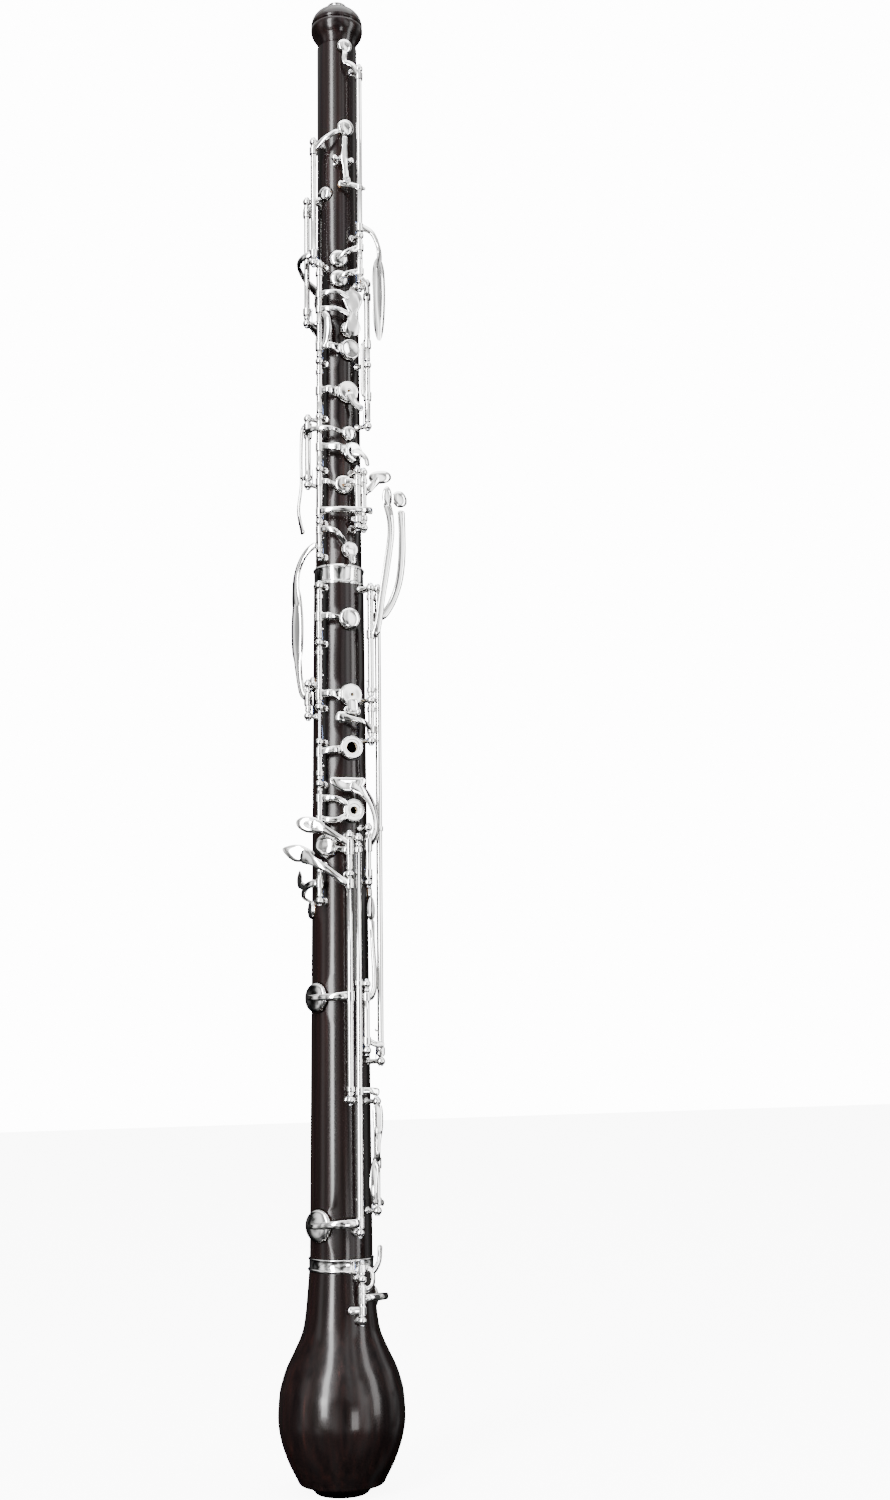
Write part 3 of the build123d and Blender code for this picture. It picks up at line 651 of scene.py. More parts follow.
class Key(Piece):
    """One key's metal, drawn shut. An open key is swung back to its rest at the end.

    cup is its pad cup's (angle, z, radius), then the radius of the cup's hole if it has one.
    opens is the side that the key swings to as it opens, 1 or -1.
    """

    def __init__(self, body, cup=None, opens=0):
        super().__init__(body + "_forging")
        self.body = body
        self.cup = cup
        self.turn = -OPEN * opens
        self.angle, self.radius = hinge(body)

    def tube(self, *spans):
        for low, high in spans:
            self.add(tube_shell(self.angle, self.radius, low, high), SILVER)
        return self

    def collars(self, *heights):
        for z in heights:
            self.add(collar_shell(self.angle, self.radius, z), SILVER)
        return self

    def arm(self, places, widths, thicks, join=False, lean=0.0):
        """A forged arm through the places. If it joins the cup, it stops in the cup's side."""
        if join:
            places = to_cup(places, *self.cup[:3])
        widths = [HEFT * w for w in widths]
        thicks = [HEFT * t for t in thicks]
        self.add(strap([at(*p) for p in places], widths, thicks, lean=lean), SILVER)
        for angle, radius, z in (places[0], places[-1]):
            if abs(angle - self.angle) < 0.5 and abs(radius - self.radius) < 0.5:
                self.add(collar_shell(self.angle, self.radius, z, widths[0] + 0.3, 2.25), SILVER)
        return self

    def reach(self, z, lift=1.4, end=None):
        """Places along an arm from the hinge round the body to the cup's crown, or to end."""
        steps = 6
        angle, z_end = end or self.cup[:2]
        crown = bed(z_end) + CUP_CROWN
        places = [(self.angle, self.radius, z)]
        for n in range(1, steps + 1):
            t = n / steps
            r = self.radius + (crown - self.radius) * t + lift * math.sin(math.pi * t)
            places.append((self.angle + (angle - self.angle) * t, r, z + (z_end - z) * t))
        return places

    def dome(self):
        self.add(cup_shell(*self.cup), SILVER)
        return self

    def plateau(self):
        self.add(plateau_shell(*self.cup), SILVER)
        return self

    def ring(self):
        self.add(ring_cup_shell(*self.cup), SILVER)
        return self

    def pad(self, material=None):
        """A small key's pad, which is part of its CAD node."""
        self.add(pad_shell(*self.cup), material or CORK)
        return self

    def touch(self, angle, radius, z, long, wide, thick=1.6, turn=0.0, shape="oval", dish=0.0, lean=0.0):
        self.add(pebble(facing(angle, radius, z, turn, lean), long, wide, thick, shape, dish), SILVER)
        return self

    def plate(self, angle, radius, z, controls, thick=1.4, turn=0.0, dish=0.0, lean=0.0):
        self.add(plaque(facing(angle, radius, z, turn, lean), controls, thick, dish), SILVER)
        return self

    def screw(self, angle, radius, z, height=1.5, head=1.0):
        """An adjusting screw through a tab, its slotted head outward and its tip within."""
        place = facing(angle, radius, z, 35)
        self.head(place, head, height)
        self.add(lathe([(0, -1.6), (0.55, -1.6), (0.55, 0.1), (0, 0.1)], place, 16), STEEL)
        return self

    def bumper(self, angle, radius, z, size=1.3, depth=1.0):
        """A cork under a tab."""
        place = facing(angle, radius - depth, z)
        self.add(lathe([(0, 0), (size, 0), (size, depth), (0, depth)], place, 20), CORK)
        return self

    def hook(self, z):
        """The small catch under a tube that a needle spring presses on."""
        a, r, thick = self.angle, self.radius - TUBE_R, (0.84, 0.84)
        line = [at(a, r + 0.4, z), at(a, r - 0.9, z), at(a, r - 1.25, z + 0.7)]
        self.add(strap(line, thick, thick, 8, 2.0), SILVER)
        return self

    def done(self, own_pad=False):
        """Makes the key, and its pad too where the CAD has that as a node of its own."""
        self.make(self.body, "silver_plate", [self.body], self.turn)
        if own_pad:
            piece = Piece(self.body.replace("_key", "_pad_skin"))
            piece.add(pad_shell(*self.cup), SKIN)
            piece.make(self.body, "pad_skin", [self.body.replace("_key", "_pad")], self.turn)


def octave_keys():
    key = Key("side_octave_key", (2, 769.7, 4.3)).tube((658.9, 752.6)).collars(661, 750)
    key.arm([(24, 17.2, 750.5), (19, 17.4, 752.5), (12, 16.8, 755.6), (4, 15.6, 757.2), (-2.6, 14.8, 758),
        (-4.2, 14.4, 760.4), (-2, 14, 764)], (3.4, 2.8, 2.4, 2.3), (2, 1.6, 1.5, 1.2), join=True)
    key.arm([(24, 17.2, 661), (31, 19.6, 660.5), (38, 22.4, 658), (42, 24.6, 652), (42.5, 25.6, 646),
        (42, 25.4, 638)], (3.6, 3, 3, 4, 5), (2.2, 1.9, 1.8, 1.6, 1.2))
    key.plate(41, 25, 620, [(24, 0), (20, 2.9), (10, 4), (-4, 3.9), (-16, 3), (-23, 1.4), (-24, 0)], 1.7,
        lean=-38)
    key.dome().pad()
    key.arm([(31, 19, 684.2), (24, 17.9, 684.4), (12, 16.4, 684.8), (-2, 14.9, 685.4), (-14, 14.2, 686)],
        (1.6, 3, 2.8, 2.8, 3), (1.3, 1.6, 1.4, 1.3, 1.3))
    key.collars(684.4).bumper(-13, 13.7, 686, 1.5, 1.4).hook(664).done()

    key = Key("thumb_octave_key", (4, 720.7, 4.9)).tube((643.4, 709.1)).collars(706)
    key.arm(key.reach(706, 1.6), (3.4, 2.7, 2.3, 2), (2, 1.6, 1.4, 1.1), join=True)
    key.arm([(-70, 17.2, 646), (-84, 20.4, 645), (-103, 21.6, 643), (-125, 19.2, 639), (-150, 16.3, 634)],
        (3.4, 3, 3, 4, 5.5), (2.2, 1.9, 1.7, 1.3))
    key.touch(-163, 14.6, 629, 17, 11, 1.6, shape="drop", dish=0.4)
    key.dome().pad().hook(649).done()

    key = Key("third_octave_key", (-57, 682.2, 4)).tube((612, 678)).collars(675)
    key.arm([(-103, 17, 673), (-92, 15.8, 675), (-78, 14.2, 678.5), (-60, 13.4, 682)], (3, 2.4, 2),
        (1.8, 1.4, 1), join=True)
    key.arm([(-103, 17, 616), (-120, 17.6, 614), (-140, 16, 611), (-155, 15.2, 609)], (3.2, 3, 4.6),
        (2.1, 1.8, 1.3))
    key.touch(-166, 14.4, 605, 15, 11, 1.6, shape="drop", dish=0.4)
    key.dome().pad().hook(617).done()


def octave_rocker():
    """The lever that rocks on a crosswise axle between the two octave keys."""
    rocker = Piece("octave_rocker_forging")
    x, y, z = ROCKER
    half = [(0.95, 0), (1.5, 0), (1.75, 0.2), (1.75, 0.9), (1.6, 1.05)]
    barrel = half + [(r, 5 - h) for r, h in reversed(half)]
    level = Matrix.Translation((x - 2.5, y, z)) @ quarter("Y")
    rocker.add(lathe(barrel, level, 28, closed=True), SILVER)
    line = [(0.6, -16.2, 712), (0.3, -16.5, 706), (0, -16.5, z), (0.8, -16.5, 694), (1.4, -16.2, 688.4)]
    rocker.add(strap([Vector((x + dx, dy, dz)) for dx, dy, dz in line],
                     (3, 3, 4, 3, 3.2), (1.4, 1.6, 2.2, 1.6, 1.5)), SILVER)
    eye = [(0.9, -1.3), (1.9, -1.3), (2.2, -1), (2.2, -0.3), (1.9, 0), (1.15, 0), (0.9, -0.25)]
    rocker.add(lathe(eye, Matrix.Translation((x + 1.4, -17.4, 687.2)) @ quarter("X"), 28, closed=True),
               SILVER)
    rocker.head(Matrix.Translation((x + 1.4, -16, 686.8)) @ quarter("X"), 0.75, 1)
    rocker.make("octave_rocker", "silver_plate", ["octave_rocker"])


def trill_keys():
    for body, z_arm, span, z_cup in (("upper_trill_key", 649.5, (642.6, 654.1), 643.4),
                                     ("lower_trill_key", 635.5, (629, 642.3), 631.8)):
        key = Key(body, (-18, z_cup, 4.9)).tube(span)
        key.arm(key.reach(z_arm, 1.2), (3.2, 2.6, 2.3, 2), (1.9, 1.6, 1.4, 1.1))
        key.dome().pad().done()

    key = Key("trill_lever").tube((585.4, 627.1), (550.9, 580.6)).collars(596, 622, 564)
    key.arm([(38, 18.6, 594), (33, 17.9, 594.5), (28.5, 17.7, 592), (28, 17.6, 580), (28.5, 17.7, 568),
        (33, 17.9, 565.5), (38, 18.6, 566)], (2.4, 1.9, 1.7, 1.9, 2.4), (1.7, 1.5, 1.4, 1.5, 1.7))
    key.arm([(38, 18.6, 622), (31, 20.4, 624), (25, 20.9, 628), (20, 20.4, 630)], (3, 2.4, 3),
        (1.8, 1.5, 1.1))
    key.bumper(20, 20.2, 629.6, 1.2, 0.9).done()


def left_hand_stack():
    key = Key("half_hole_key", (7, 602.5, 4.4, 0.8), 1).tube((604.4, 636.1)).collars(633)
    key.arm([(-56, 17.2, 621), (-40, 17.6, 621.4), (-20, 17, 621.4), (0, 15.8, 619.5)], (3, 2.3, 2.4),
        (1.8, 1.4, 1.2))
    key.arm([(-56, 17.2, 612.5), (-40, 17.5, 612.4), (-20, 16.8, 611.6), (0, 15.6, 610)], (3, 2.3, 2.4),
        (1.8, 1.4, 1.2))
    key.plate(13, 14.2, 611, [(13.2, 0), (11.6, 4.1), (7.6, 5.4), (3.2, 3.9), (0, 2.7), (-3.6, 3.1),
        (-8, 4.3), (-11.4, 3.4), (-12.8, 0)], 1.8, dish=0.5, lean=-15)
    key.plateau().pad(SKIN).screw(-24, 17.6, 612.2, 1.1, 0.8).done()

    key = Key("first_finger_key", (10, 591, 5.9), 1).tube((585.6, 604.1))
    key.arm(key.reach(591.5), (3.8, 3, 3.2, 4.6), (2, 1.6, 1.5, 1.2), join=True)
    key.arm([(-45, 17.4, 610), (-39, 18.2, 607), (-37, 18.4, 601), (-40, 18.2, 595), (-47, 17.6, 591.6)],
        (2.4, 3.6, 4, 3.6, 2.8), (1.4, 1.8, 1.9, 1.8, 1.5))
    key.plateau().hook(599).done(own_pad=True)

    key = Key("second_finger_key", (4, 566.8, 6, 0.8), 1).tube((554.4, 580.8)).collars(577)
    key.arm(key.reach(566.5), (3.8, 3, 3.6, 5), (2, 1.6, 1.5, 1.2), join=True)
    key.arm([(6, 14.2, 564.5), (11, 15, 561.5), (17, 16.2, 558.6), (24, 17.2, 557)], (4.6, 3.4, 3.6),
        (1.5, 1.4, 1.3))
    key.plateau().screw(22.5, 17.6, 557.2, 1.2).hook(560).done(own_pad=True)

    key = Key("third_finger_key", (17, 533.2, 5.6, 0.8), 1).tube((525.4, 549.6)).collars(546)
    key.arm(key.reach(535), (3.8, 3, 3.6, 5), (2, 1.6, 1.5, 1.2), join=True)
    key.arm([(19, 14.3, 533), (26, 16.8, 531.6), (32, 18.5, 529), (34, 18.9, 526)], (4, 2.8, 2.6),
        (1.4, 1.4, 1.3))
    key.plateau().hook(530).done(own_pad=True)

    key = Key("g_sharp_key", (-7, 514.9, 5.3)).tube((496, 520.6)).collars(499)
    key.arm(key.reach(515.5), (3.4, 2.8, 2.4, 2), (2, 1.6, 1.5, 1.2), join=True)
    key.arm([(-56, 17.2, 499), (-44, 19.3, 499), (-20, 19.8, 499), (2, 21, 499), (18, 21.9, 499.5),
        (31, 21.9, 500)], (3.4, 2.9, 2.7, 2.7, 3.4), (2.2, 1.9, 1.7, 1.5))
    key.dome().screw(27, 22.4, 500, 1.2).hook(508).done(own_pad=True)

    key = Key("bridge_key", (6, 478.8, 4.5), 1).tube((477.4, 491.2))
    key.arm([(-56, 17.2, 489), (-40, 18.3, 489), (-22, 18, 486.5), (-8, 16.4, 482.6), (5, 14.6, 479)],
        (3.4, 3, 2.6, 2.4), (2.1, 1.8, 1.5, 1.2), join=True)
    key.arm([(6, 14.7, 478), (6, 16.2, 475), (6, 16.8, 471.5)], (3.4, 3, 3.4), (1.3, 1.3, 1.3))
    key.plateau().pad(SKIN).hook(485).done()


def left_hand_sides():
    key = Key("c_trill_key", (8, 544, 4.2)).tube((518.4, 550.6)).collars(548)
    key.arm([(-86, 18, 544), (-74, 20.6, 544.3), (-56, 21.2, 544.3), (-32, 19.5, 544), (-12, 16.4, 544),
        (8, 14.4, 544)], (3.2, 2.7, 2.5, 2.2, 2), (2, 1.7, 1.6, 1.4, 1.1), join=True)
    key.arm([(-86, 18, 549), (-93, 19.6, 548.8), (-97, 20.3, 545), (-97.5, 20.6, 532), (-97, 20.6, 516),
        (-94, 22.3, 502), (-84, 21.6, 489)], (2.4, 1.9, 1.7, 1.7, 2, 2.2, 2.8),
        (1.7, 1.5, 1.4, 1.4, 1.5, 1.5, 1.2))
    key.arm([(-97.2, 20.5, 520.5), (-92, 19.6, 520), (-86, 18, 520)], (1.9, 2.4), (1.5, 1.7))
    key.dome().pad().bumper(-84, 21.4, 489.4, 1.1, 0.8).done()

    key = Key("g_sharp_touch").tube((493.2, 519.1)).collars(496, 511, 516.6)
    key.arm([(26, 18.4, 511), (31, 20.6, 512), (36, 22.6, 515), (41, 24, 518)], (3.4, 3, 3.6),
        (2, 1.7, 1.3), lean=-30)
    key.touch(45, 24.2, 519.5, 7.2, 13.2, 1.8, 12, lean=-46).done()

    key = Key("left_f_link").tube((493.2, 519.1)).collars(515.6)
    key.arm([(13, 18.4, 515), (2, 19.2, 515), (-8, 18.8, 515)], (2.8, 2.3, 2.6), (1.7, 1.4, 1.2))
    key.arm([(13, 18.4, 494.6), (4, 17.8, 494.6)], (2.6, 2.2), (1.7, 1.3))
    key.bumper(-7.4, 18.6, 515, 1.1, 0.8).done()


def left_little_finger():
    key = Key("low_b_lever").tube((400, 456)).collars(403, 433, 453)
    key.arm([(35, 20.2, 433), (37, 23, 434.4), (38.5, 24.6, 441), (40.5, 25.8, 452), (45, 28, 470),
        (48.5, 29.8, 487), (49.5, 29.4, 497), (50, 27.9, 504)],
        (3.8, 3.4, 3.3, 3.4, 3.4, 3.3, 3.4, 4.2), (2.5, 2.2, 2, 1.9, 1.9, 1.9, 1.6, 1.4), lean=-45)
    key.plate(50, 27.4, 509, [(6, 0), (4.4, 1.9), (0.2, 2.9), (-3.8, 2.3), (-6.2, 0)], 1.8, lean=-48)
    key.hook(408).done()

    key = Key("low_b_flat_lever").tube((212.9, 456)).collars(216, 330, 443, 453)
    key.arm([(47, 22.2, 443), (52, 25.4, 445), (55, 29.4, 452), (55, 33, 462), (54.3, 34.8, 474),
        (53.4, 35.3, 488), (53, 35, 500)], (3.8, 3.5, 3.4, 3.5, 3.5, 3.3, 3.6),
        (2.5, 2.2, 2, 1.9, 1.9, 1.8, 1.5), lean=-50)
    key.plate(53, 33.8, 507.5, [(4.6, 0), (3.3, 3.1), (-0.4, 4.2), (-3.6, 3), (-4.6, 0)], 1.8, 20,
        lean=-52)
    key.arm([(47, 22.2, 215.6), (42, 22.8, 215), (37, 23.3, 214)], (3.2, 2.6, 3), (2, 1.6, 1.3))
    key.hook(226).done()


def side_trill():
    key = Key("side_trill_lever", (-104, 408, 4.2)).tube((391.9, 404.1))
    key.arm([(-80, 18.9, 399), (-86, 20.9, 401.5), (-88, 22.2, 408), (-90, 22.9, 416), (-91, 23.3, 424)],
        (3.4, 3.2, 3.2, 3.8, 4.8), (2.2, 2, 1.8, 1.5, 1.2), lean=40)
    key.plate(-92, 22.8, 438, [(21, 0), (19.6, 1.6), (13, 2.8), (2, 3.7), (-9, 3.6), (-17, 2.6),
        (-20, 0)], 1.7, lean=42)
    key.arm([(-92, 23.7, 450), (-91, 24.2, 458), (-86, 24.3, 466), (-76, 23.6, 473), (-66, 22.4, 477.6),
        (-57, 21, 480)], (5, 3.8, 3, 2.8, 3), (1.6, 1.7, 1.7, 1.5, 1.2), lean=30)
    key.arm([(-80, 18.9, 397), (-85, 18.8, 398.6), (-90, 18.2, 401), (-104, 16.3, 408)], (3, 2.6, 2.2),
        (1.8, 1.5, 1.1), join=True)
    key.dome().pad().bumper(-59, 21.3, 479.6, 1.1, 0.8).done()


def right_hand_stack():
    key = Key("first_vent_key", (3, 441.1, 5.8), 1).tube((429.9, 455.8)).collars(452)
    key.arm(key.reach(441.5, 1), (4.2, 3.2, 2.6, 2.2), (2.1, 1.7, 1.5, 1.2), join=True)
    key.dome().hook(435).done(own_pad=True)

    key = Key("right_first_finger_key", (4, 399.9, 6.1, 0.8), 1).tube((395.4, 425.1)).collars(398, 422)
    key.arm(key.reach(400, 1.2), (3.8, 3, 3.6, 5.2), (2.1, 1.7, 1.5, 1.2), join=True)
    key.plateau()
    key.plate(5, 14.9, 391.4, [(2.6, 0), (1.9, 3.6), (0, 4.5), (-1.9, 3.6), (-2.6, 0)], 1.6)
    key.arm([(4.5, 16.2, 396), (5, 16.4, 392.4)], (5, 5), (1.3, 1.3))
    key.screw(9, 16, 391.4, 1.1, 0.85).hook(410).done(own_pad=True)

    key = Key("d_trill_key").tube((378.4, 395.2)).collars(392.6)
    key.arm([(35, 20.2, 382), (27, 21, 383), (14, 21.6, 385), (0, 21, 386), (-14, 20.3, 387)],
        (3.2, 2.6, 2.4, 2.4, 3), (2, 1.7, 1.6, 1.5, 1.2))
    key.touch(-17, 19.2, 387, 6.2, 6.2, 1.8).done()

    key = Key("right_second_finger_key", (4, 371.9, 6.2, 2.9), 1).tube((355, 372.2)).collars(358)
    key.arm(key.reach(369, 1.2, (-14, 371)), (3.8, 3.2, 3.2, 4), (2.1, 1.7, 1.6, 1.3), join=True)
    key.ring().hook(362).done(own_pad=True)

    key = Key("right_third_finger_key", (7, 338.9, 6, 1.9), 1).tube((331.9, 350.2))
    key.arm([(-53, 19.2, 345), (-38, 18.9, 345), (-24, 18.2, 344.6), (-12, 17, 342.6), (-7, 16.2, 341.2)],
        (3.2, 2.6, 2.8), (2, 1.7, 1.4))
    key.arm([(-53, 19.2, 334), (-38, 18.9, 333.6), (-24, 18.2, 333.6), (-12, 17, 335.2),
        (-7, 16.2, 336.6)], (3.2, 2.6, 2.8), (2, 1.7, 1.4))
    key.ring().screw(-30, 18.9, 345, 1.1, 0.85).hook(340).done(own_pad=True)


def right_little_finger():
    key = Key("f_key", (74, 297, 5)).tube((303.9, 327.6)).collars(306.6, 321)
    key.plate(-9, 19.8, 352, [(3.4, 0), (3.3, 5), (3.2, 8.2), (1.8, 9.2), (-1.4, 7.6), (-3.6, 4),
        (-4.3, 0), (-3.7, -4), (-1.6, -7.6), (1.6, -9.4), (3.2, -8.4), (3.3, -5)], 2.4, dish=1.1)
    key.arm([(0, 21, 351), (12, 21.6, 348.6), (25, 22.2, 343.6), (33, 22.7, 337), (35.8, 22.8, 330),
        (33, 21.6, 324.6), (28, 19.8, 321)], (5.6, 4.4, 3.8, 3.6, 3.6, 3.6, 3.8),
        (1.8, 1.9, 1.9, 1.9, 2, 2, 2.2))
    key.arm([(28, 19.5, 306.5), (40, 18.4, 304.5), (54, 18, 300.6), (74, 17, 297)], (3, 2.3, 2),
        (1.8, 1.5, 1.1), join=True)
    key.dome().pad().done()

    key = Key("low_c_key", (-48, 320.5, 6.2), -1).tube((307.8, 323.1))
    key.arm([(-6, 19.6, 317.5), (-13, 19.8, 318), (-20, 19.2, 318.8), (-47, 17.2, 320.4)],
        (3.6, 3, 2.6, 2.2), (2.1, 1.8, 1.5, 1.2), join=True)
    key.arm([(-6, 19.6, 321), (-22, 21.2, 324), (-40, 22.7, 328), (-55, 23.6, 330.2)], (3.4, 3, 3.4, 5.2),
        (2.1, 1.9, 1.6, 1.3))
    key.plate(-61, 23.2, 330.8, [(0.4, 7.6), (3.2, 5.4), (4.3, 1), (3.6, -3.6), (1.6, -7.4), (-1.4, -7.4),
        (-3.6, -3.6), (-4.2, 1), (-2.6, 5.6)], 1.8, -10, 0.35, 24)
    key.dome().hook(312).done(own_pad=True)

    key = Key("low_c_sharp_key", (-72, 242.9, 7.6), -1).tube((193.9, 303)).collars(197, 300)
    key.arm([(-6, 19.6, 300.5), (-18, 21, 302), (-34, 22.5, 306.5), (-52, 23.5, 311), (-70, 23.9, 315)],
        (3.8, 3.2, 3.2, 4, 6.4), (2.3, 2.1, 2, 1.8, 1.3))
    key.plate(-79, 23.6, 316.6, [(0.4, 9.6), (2.8, 6.6), (4.4, 1.8), (3.8, -3), (2.2, -7.6), (-1.8, -7.6),
        (-3.8, -3), (-4.6, 1.8), (-2.6, 6.6)], 1.8, -14, 0.35, 38)
    key.arm([(-6, 19.6, 243.5), (-20, 20.6, 243.4), (-38, 20, 243), (-56, 18.4, 243), (-72, 17, 242.9)],
        (4.2, 3.4, 3, 2.8, 2.6), (2.3, 2, 1.8, 1.6, 1.4))
    key.arm([(-56, 18.5, 243), (-66, 18.6, 242.9), (-78, 18.5, 242.9), (-90, 17.6, 242.9)],
        (3.2, 2.6, 2.2, 1.4), (1.6, 1.4, 1.2, 0.8))
    key.dome().hook(210).done(own_pad=True)

    key = Key("e_flat_key", (-98, 288.3, 4.9)).tube((294.4, 308.1))
    key.arm([(-53, 19.2, 301), (-64, 20.4, 301), (-78, 20.7, 299.4), (-90, 20.2, 295),
        (-97, 18.6, 290.6)], (3.6, 3.2, 3, 2.4), (2.1, 1.9, 1.7, 1.2), join=True)
    key.arm([(-78, 20.7, 299), (-88, 21.7, 301), (-93, 22.2, 303.6)], (3.4, 4), (1.7, 1.3))
    key.touch(-94, 21.2, 304, 9.4, 9, 1.6, shape="drop")
    key.dome().pad().done()


def low_keys():
    key = Key("low_b_key", (-65, 129.7, 8), -1).tube((128.9, 321.6)).collars(132, 196, 250, 318)
    key.arm([(8, 19.8, 131.4), (-4, 20.8, 131.2), (-24, 20.8, 131), (-46, 19.6, 130.4),
        (-65, 17.9, 129.8)], (4.4, 3.8, 3.4, 3, 2.8), (2.4, 2.1, 1.9, 1.7, 1.5))
    key.arm([(-46, 19.3, 130.4), (-58, 19.4, 129.9), (-70, 19.3, 129.7), (-84, 18.2, 129.7)],
        (3.2, 2.6, 2.2, 1.4), (1.6, 1.4, 1.2, 0.8))
    key.arm([(8, 19.8, 196), (14, 21.2, 196), (21, 22.8, 196), (29, 24.3, 195.2)], (3.2, 2.8, 3.6),
        (2, 1.7, 1.3))
    key.dome().hook(142).done(own_pad=True)

    key = Key("low_b_link").tube((218.4, 247.1)).collars(221, 244)
    key.arm([(21, 20.1, 243), (27, 21.4, 243.4), (32, 22, 248), (33, 21.8, 256), (32, 21.2, 268),
        (31, 20.9, 281)], (3.2, 2.8, 2.6, 2.4, 2.6, 3.6), (2, 1.9, 1.8, 1.7, 1.5, 1.2))
    key.plate(30, 20.2, 288, [(6.4, 0), (4.4, 2.2), (0, 3.1), (-4.4, 2.6), (-6.4, 0)], 1.6)
    key.arm([(21, 20.1, 221), (27, 21.4, 220), (33, 23, 219), (38, 24.7, 219)], (3, 2.6, 3.2),
        (1.9, 1.6, 1.3))
    key.done()

    key = Key("bell_link").tube((138.9, 188.1)).collars(141.6, 160, 185.4)
    key.plate(33, 23.2, 181, [(8.4, 0), (7.4, 2), (3, 2.7), (-3, 2.6), (-7.6, 1.8), (-8.4, 0)], 1.5,
        lean=-34)
    key.arm([(37, 21.6, 184), (35.4, 22.8, 184), (34, 23.7, 184)], (3.2, 2.8), (1.9, 1.5))
    key.arm([(37, 21.6, 160), (31, 22.5, 159.4), (26, 23, 155), (24, 23.1, 148), (26.5, 23.1, 141)],
        (4.4, 4, 3.6, 3.2, 3), (2, 1.9, 1.7, 1.5, 1.2), lean=-30)
    key.arm([(33, 23.9, 174), (31, 24, 170), (31, 23.6, 164), (36, 22.2, 160.4)], (2.6, 2.2, 2.4, 3),
        (1.4, 1.4, 1.6, 1.8), lean=-30)
    key.arm([(37, 21.6, 141), (42.5, 22.4, 140.6), (48, 22.5, 140)], (3, 2.6), (1.8, 1.3))
    key.done()

    key = Key("bell_key", (100, 92.5, 6)).tube((86.9, 101.9), (106.7, 112.4)).collars(89.6, 110)
    key.arm([(8, 21.5, 95), (20, 22.9, 95.2), (38, 23.5, 95), (60, 22.9, 94.2), (82, 21.2, 93.2),
        (100, 19.2, 92.6)], (3.8, 3.2, 3, 2.9, 2.7, 2.4), (2.3, 2, 1.9, 1.8, 1.5, 1.2), join=True)
    key.arm([(8, 21.5, 99.5), (15, 22.9, 99.7), (20, 23.7, 102), (20, 23.7, 107), (15, 22.9, 109.3),
        (8, 21.5, 109.5)], (2.8, 2.3, 2.2, 2.3, 2.8), (1.8, 1.6, 1.6, 1.6, 1.8))
    key.arm([(20, 23.7, 107.5), (26, 23.9, 109.6), (31.5, 24, 113), (33, 24, 119)], (2.6, 2.4, 3),
        (1.6, 1.5, 1.3))
    key.arm([(8, 21.5, 89.5), (-8, 21.3, 89.5)], (3.2, 3.6), (1.9, 1.3))
    key.dome().hook(94).done(own_pad=True)


octave_keys()
octave_rocker()
trill_keys()
left_hand_stack()
left_hand_sides()
left_little_finger()
side_trill()
right_hand_stack()
right_little_finger()
low_keys()


# ---- posts, rods and springs
# By CAD node, each hinge line's angle and radius, with the heights of its posts.
POSTS = {
    "top_joint_posts": {
        (24, 17.2): (755, 656.5, 626.6), (-70, 17.2): (711.5, 641), (-103, 17): (680.5, 609.5),
        (-56, 17.2): (638.5, 583.2, 552, 523, 493.6, 475), (-86, 18): (553, 516),
        (38, 18.6): (629.5, 583, 548.5), (13, 18.4): (521.5, 490.8), (26, 18.4): (521.5, 490.8),
    },
    "lower_joint_posts": {
        (-53, 19.2): (458.2, 427.5, 393, 374.6, 352.6, 329.5, 310.5, 292),
        (35, 20.2): (458.4, 397.6, 376), (47, 22.2): (458.4, 210.5),
        (-6, 19.6): (325.5, 305.4, 191.5), (8, 19.8): (324, 126.5),
        (28, 19.5): (330, 301.5), (-80, 18.9): (406.5, 389.5), (21, 20.1): (249.5, 216),
        (37, 21.6): (190.5, 136.5),
    },
    "bell_posts": {(8, 21.5): (84.5, 104.3)},
}
# Lines whose rods don't run from the lowest post to the highest.
ROD_BREAKS = {(-53, 19.2): [(329.5, 458.2), (292, 310.5)], (8, 21.5): [(84.5, 111)]}
ROD_END = 1.4           # how far a rod runs past a post's middle
HEAD_SUNK = 0.75        # how deep a rod's head lies in its post's ball
NO_SPRING = ((-53, 19.2), 310.5)


def post_shell(p, seat):
    """A turned pillar and ball: seat is the wood's surface below p."""
    n = Vector((p.x, p.y, 0)).normalized()
    height = math.hypot(p.x, p.y) - seat
    neck, waist = height - BALL_R, 1.15
    profile = [(0, -0.6), (2, -0.6), (2, 0.35), (1.9, 0.55), (1.55, 0.7), (1.3, max(0.95, 0.4 * neck)),
               (waist, max(1.1, neck - 0.2))]
    start = math.degrees(math.asin(-math.sqrt(max(0.0, 1 - (waist / BALL_R) ** 2))))
    profile += arc((0, height), BALL_R, start + 2, 89, 14)
    return lathe(profile, along(Vector((0, 0, p.z)) + n * seat, n), 28)


def rod_shell(low, high, place, segments):
    return lathe([(0, low), (ROD_R, low), (ROD_R, high), (0, high)], place, segments)


def rod_and_heads(rods, angle, radius, low, high):
    """A hinge rod between two posts, with a slotted head showing at each end."""
    rods.add(rod_shell(low - ROD_END, high + ROD_END, upright(angle, radius), 24), STEEL)
    top = upright(angle, radius, high + BALL_R - HEAD_SUNK) @ Matrix.Rotation(0.5, 4, "Z")
    foot = upright(angle, radius, low - BALL_R + HEAD_SUNK)
    foot = foot @ Matrix.Rotation(math.pi, 4, "X") @ Matrix.Rotation(1.1, 4, "Z")
    for place in (top, foot):
        rods.head(place, 1.25, 0.95)


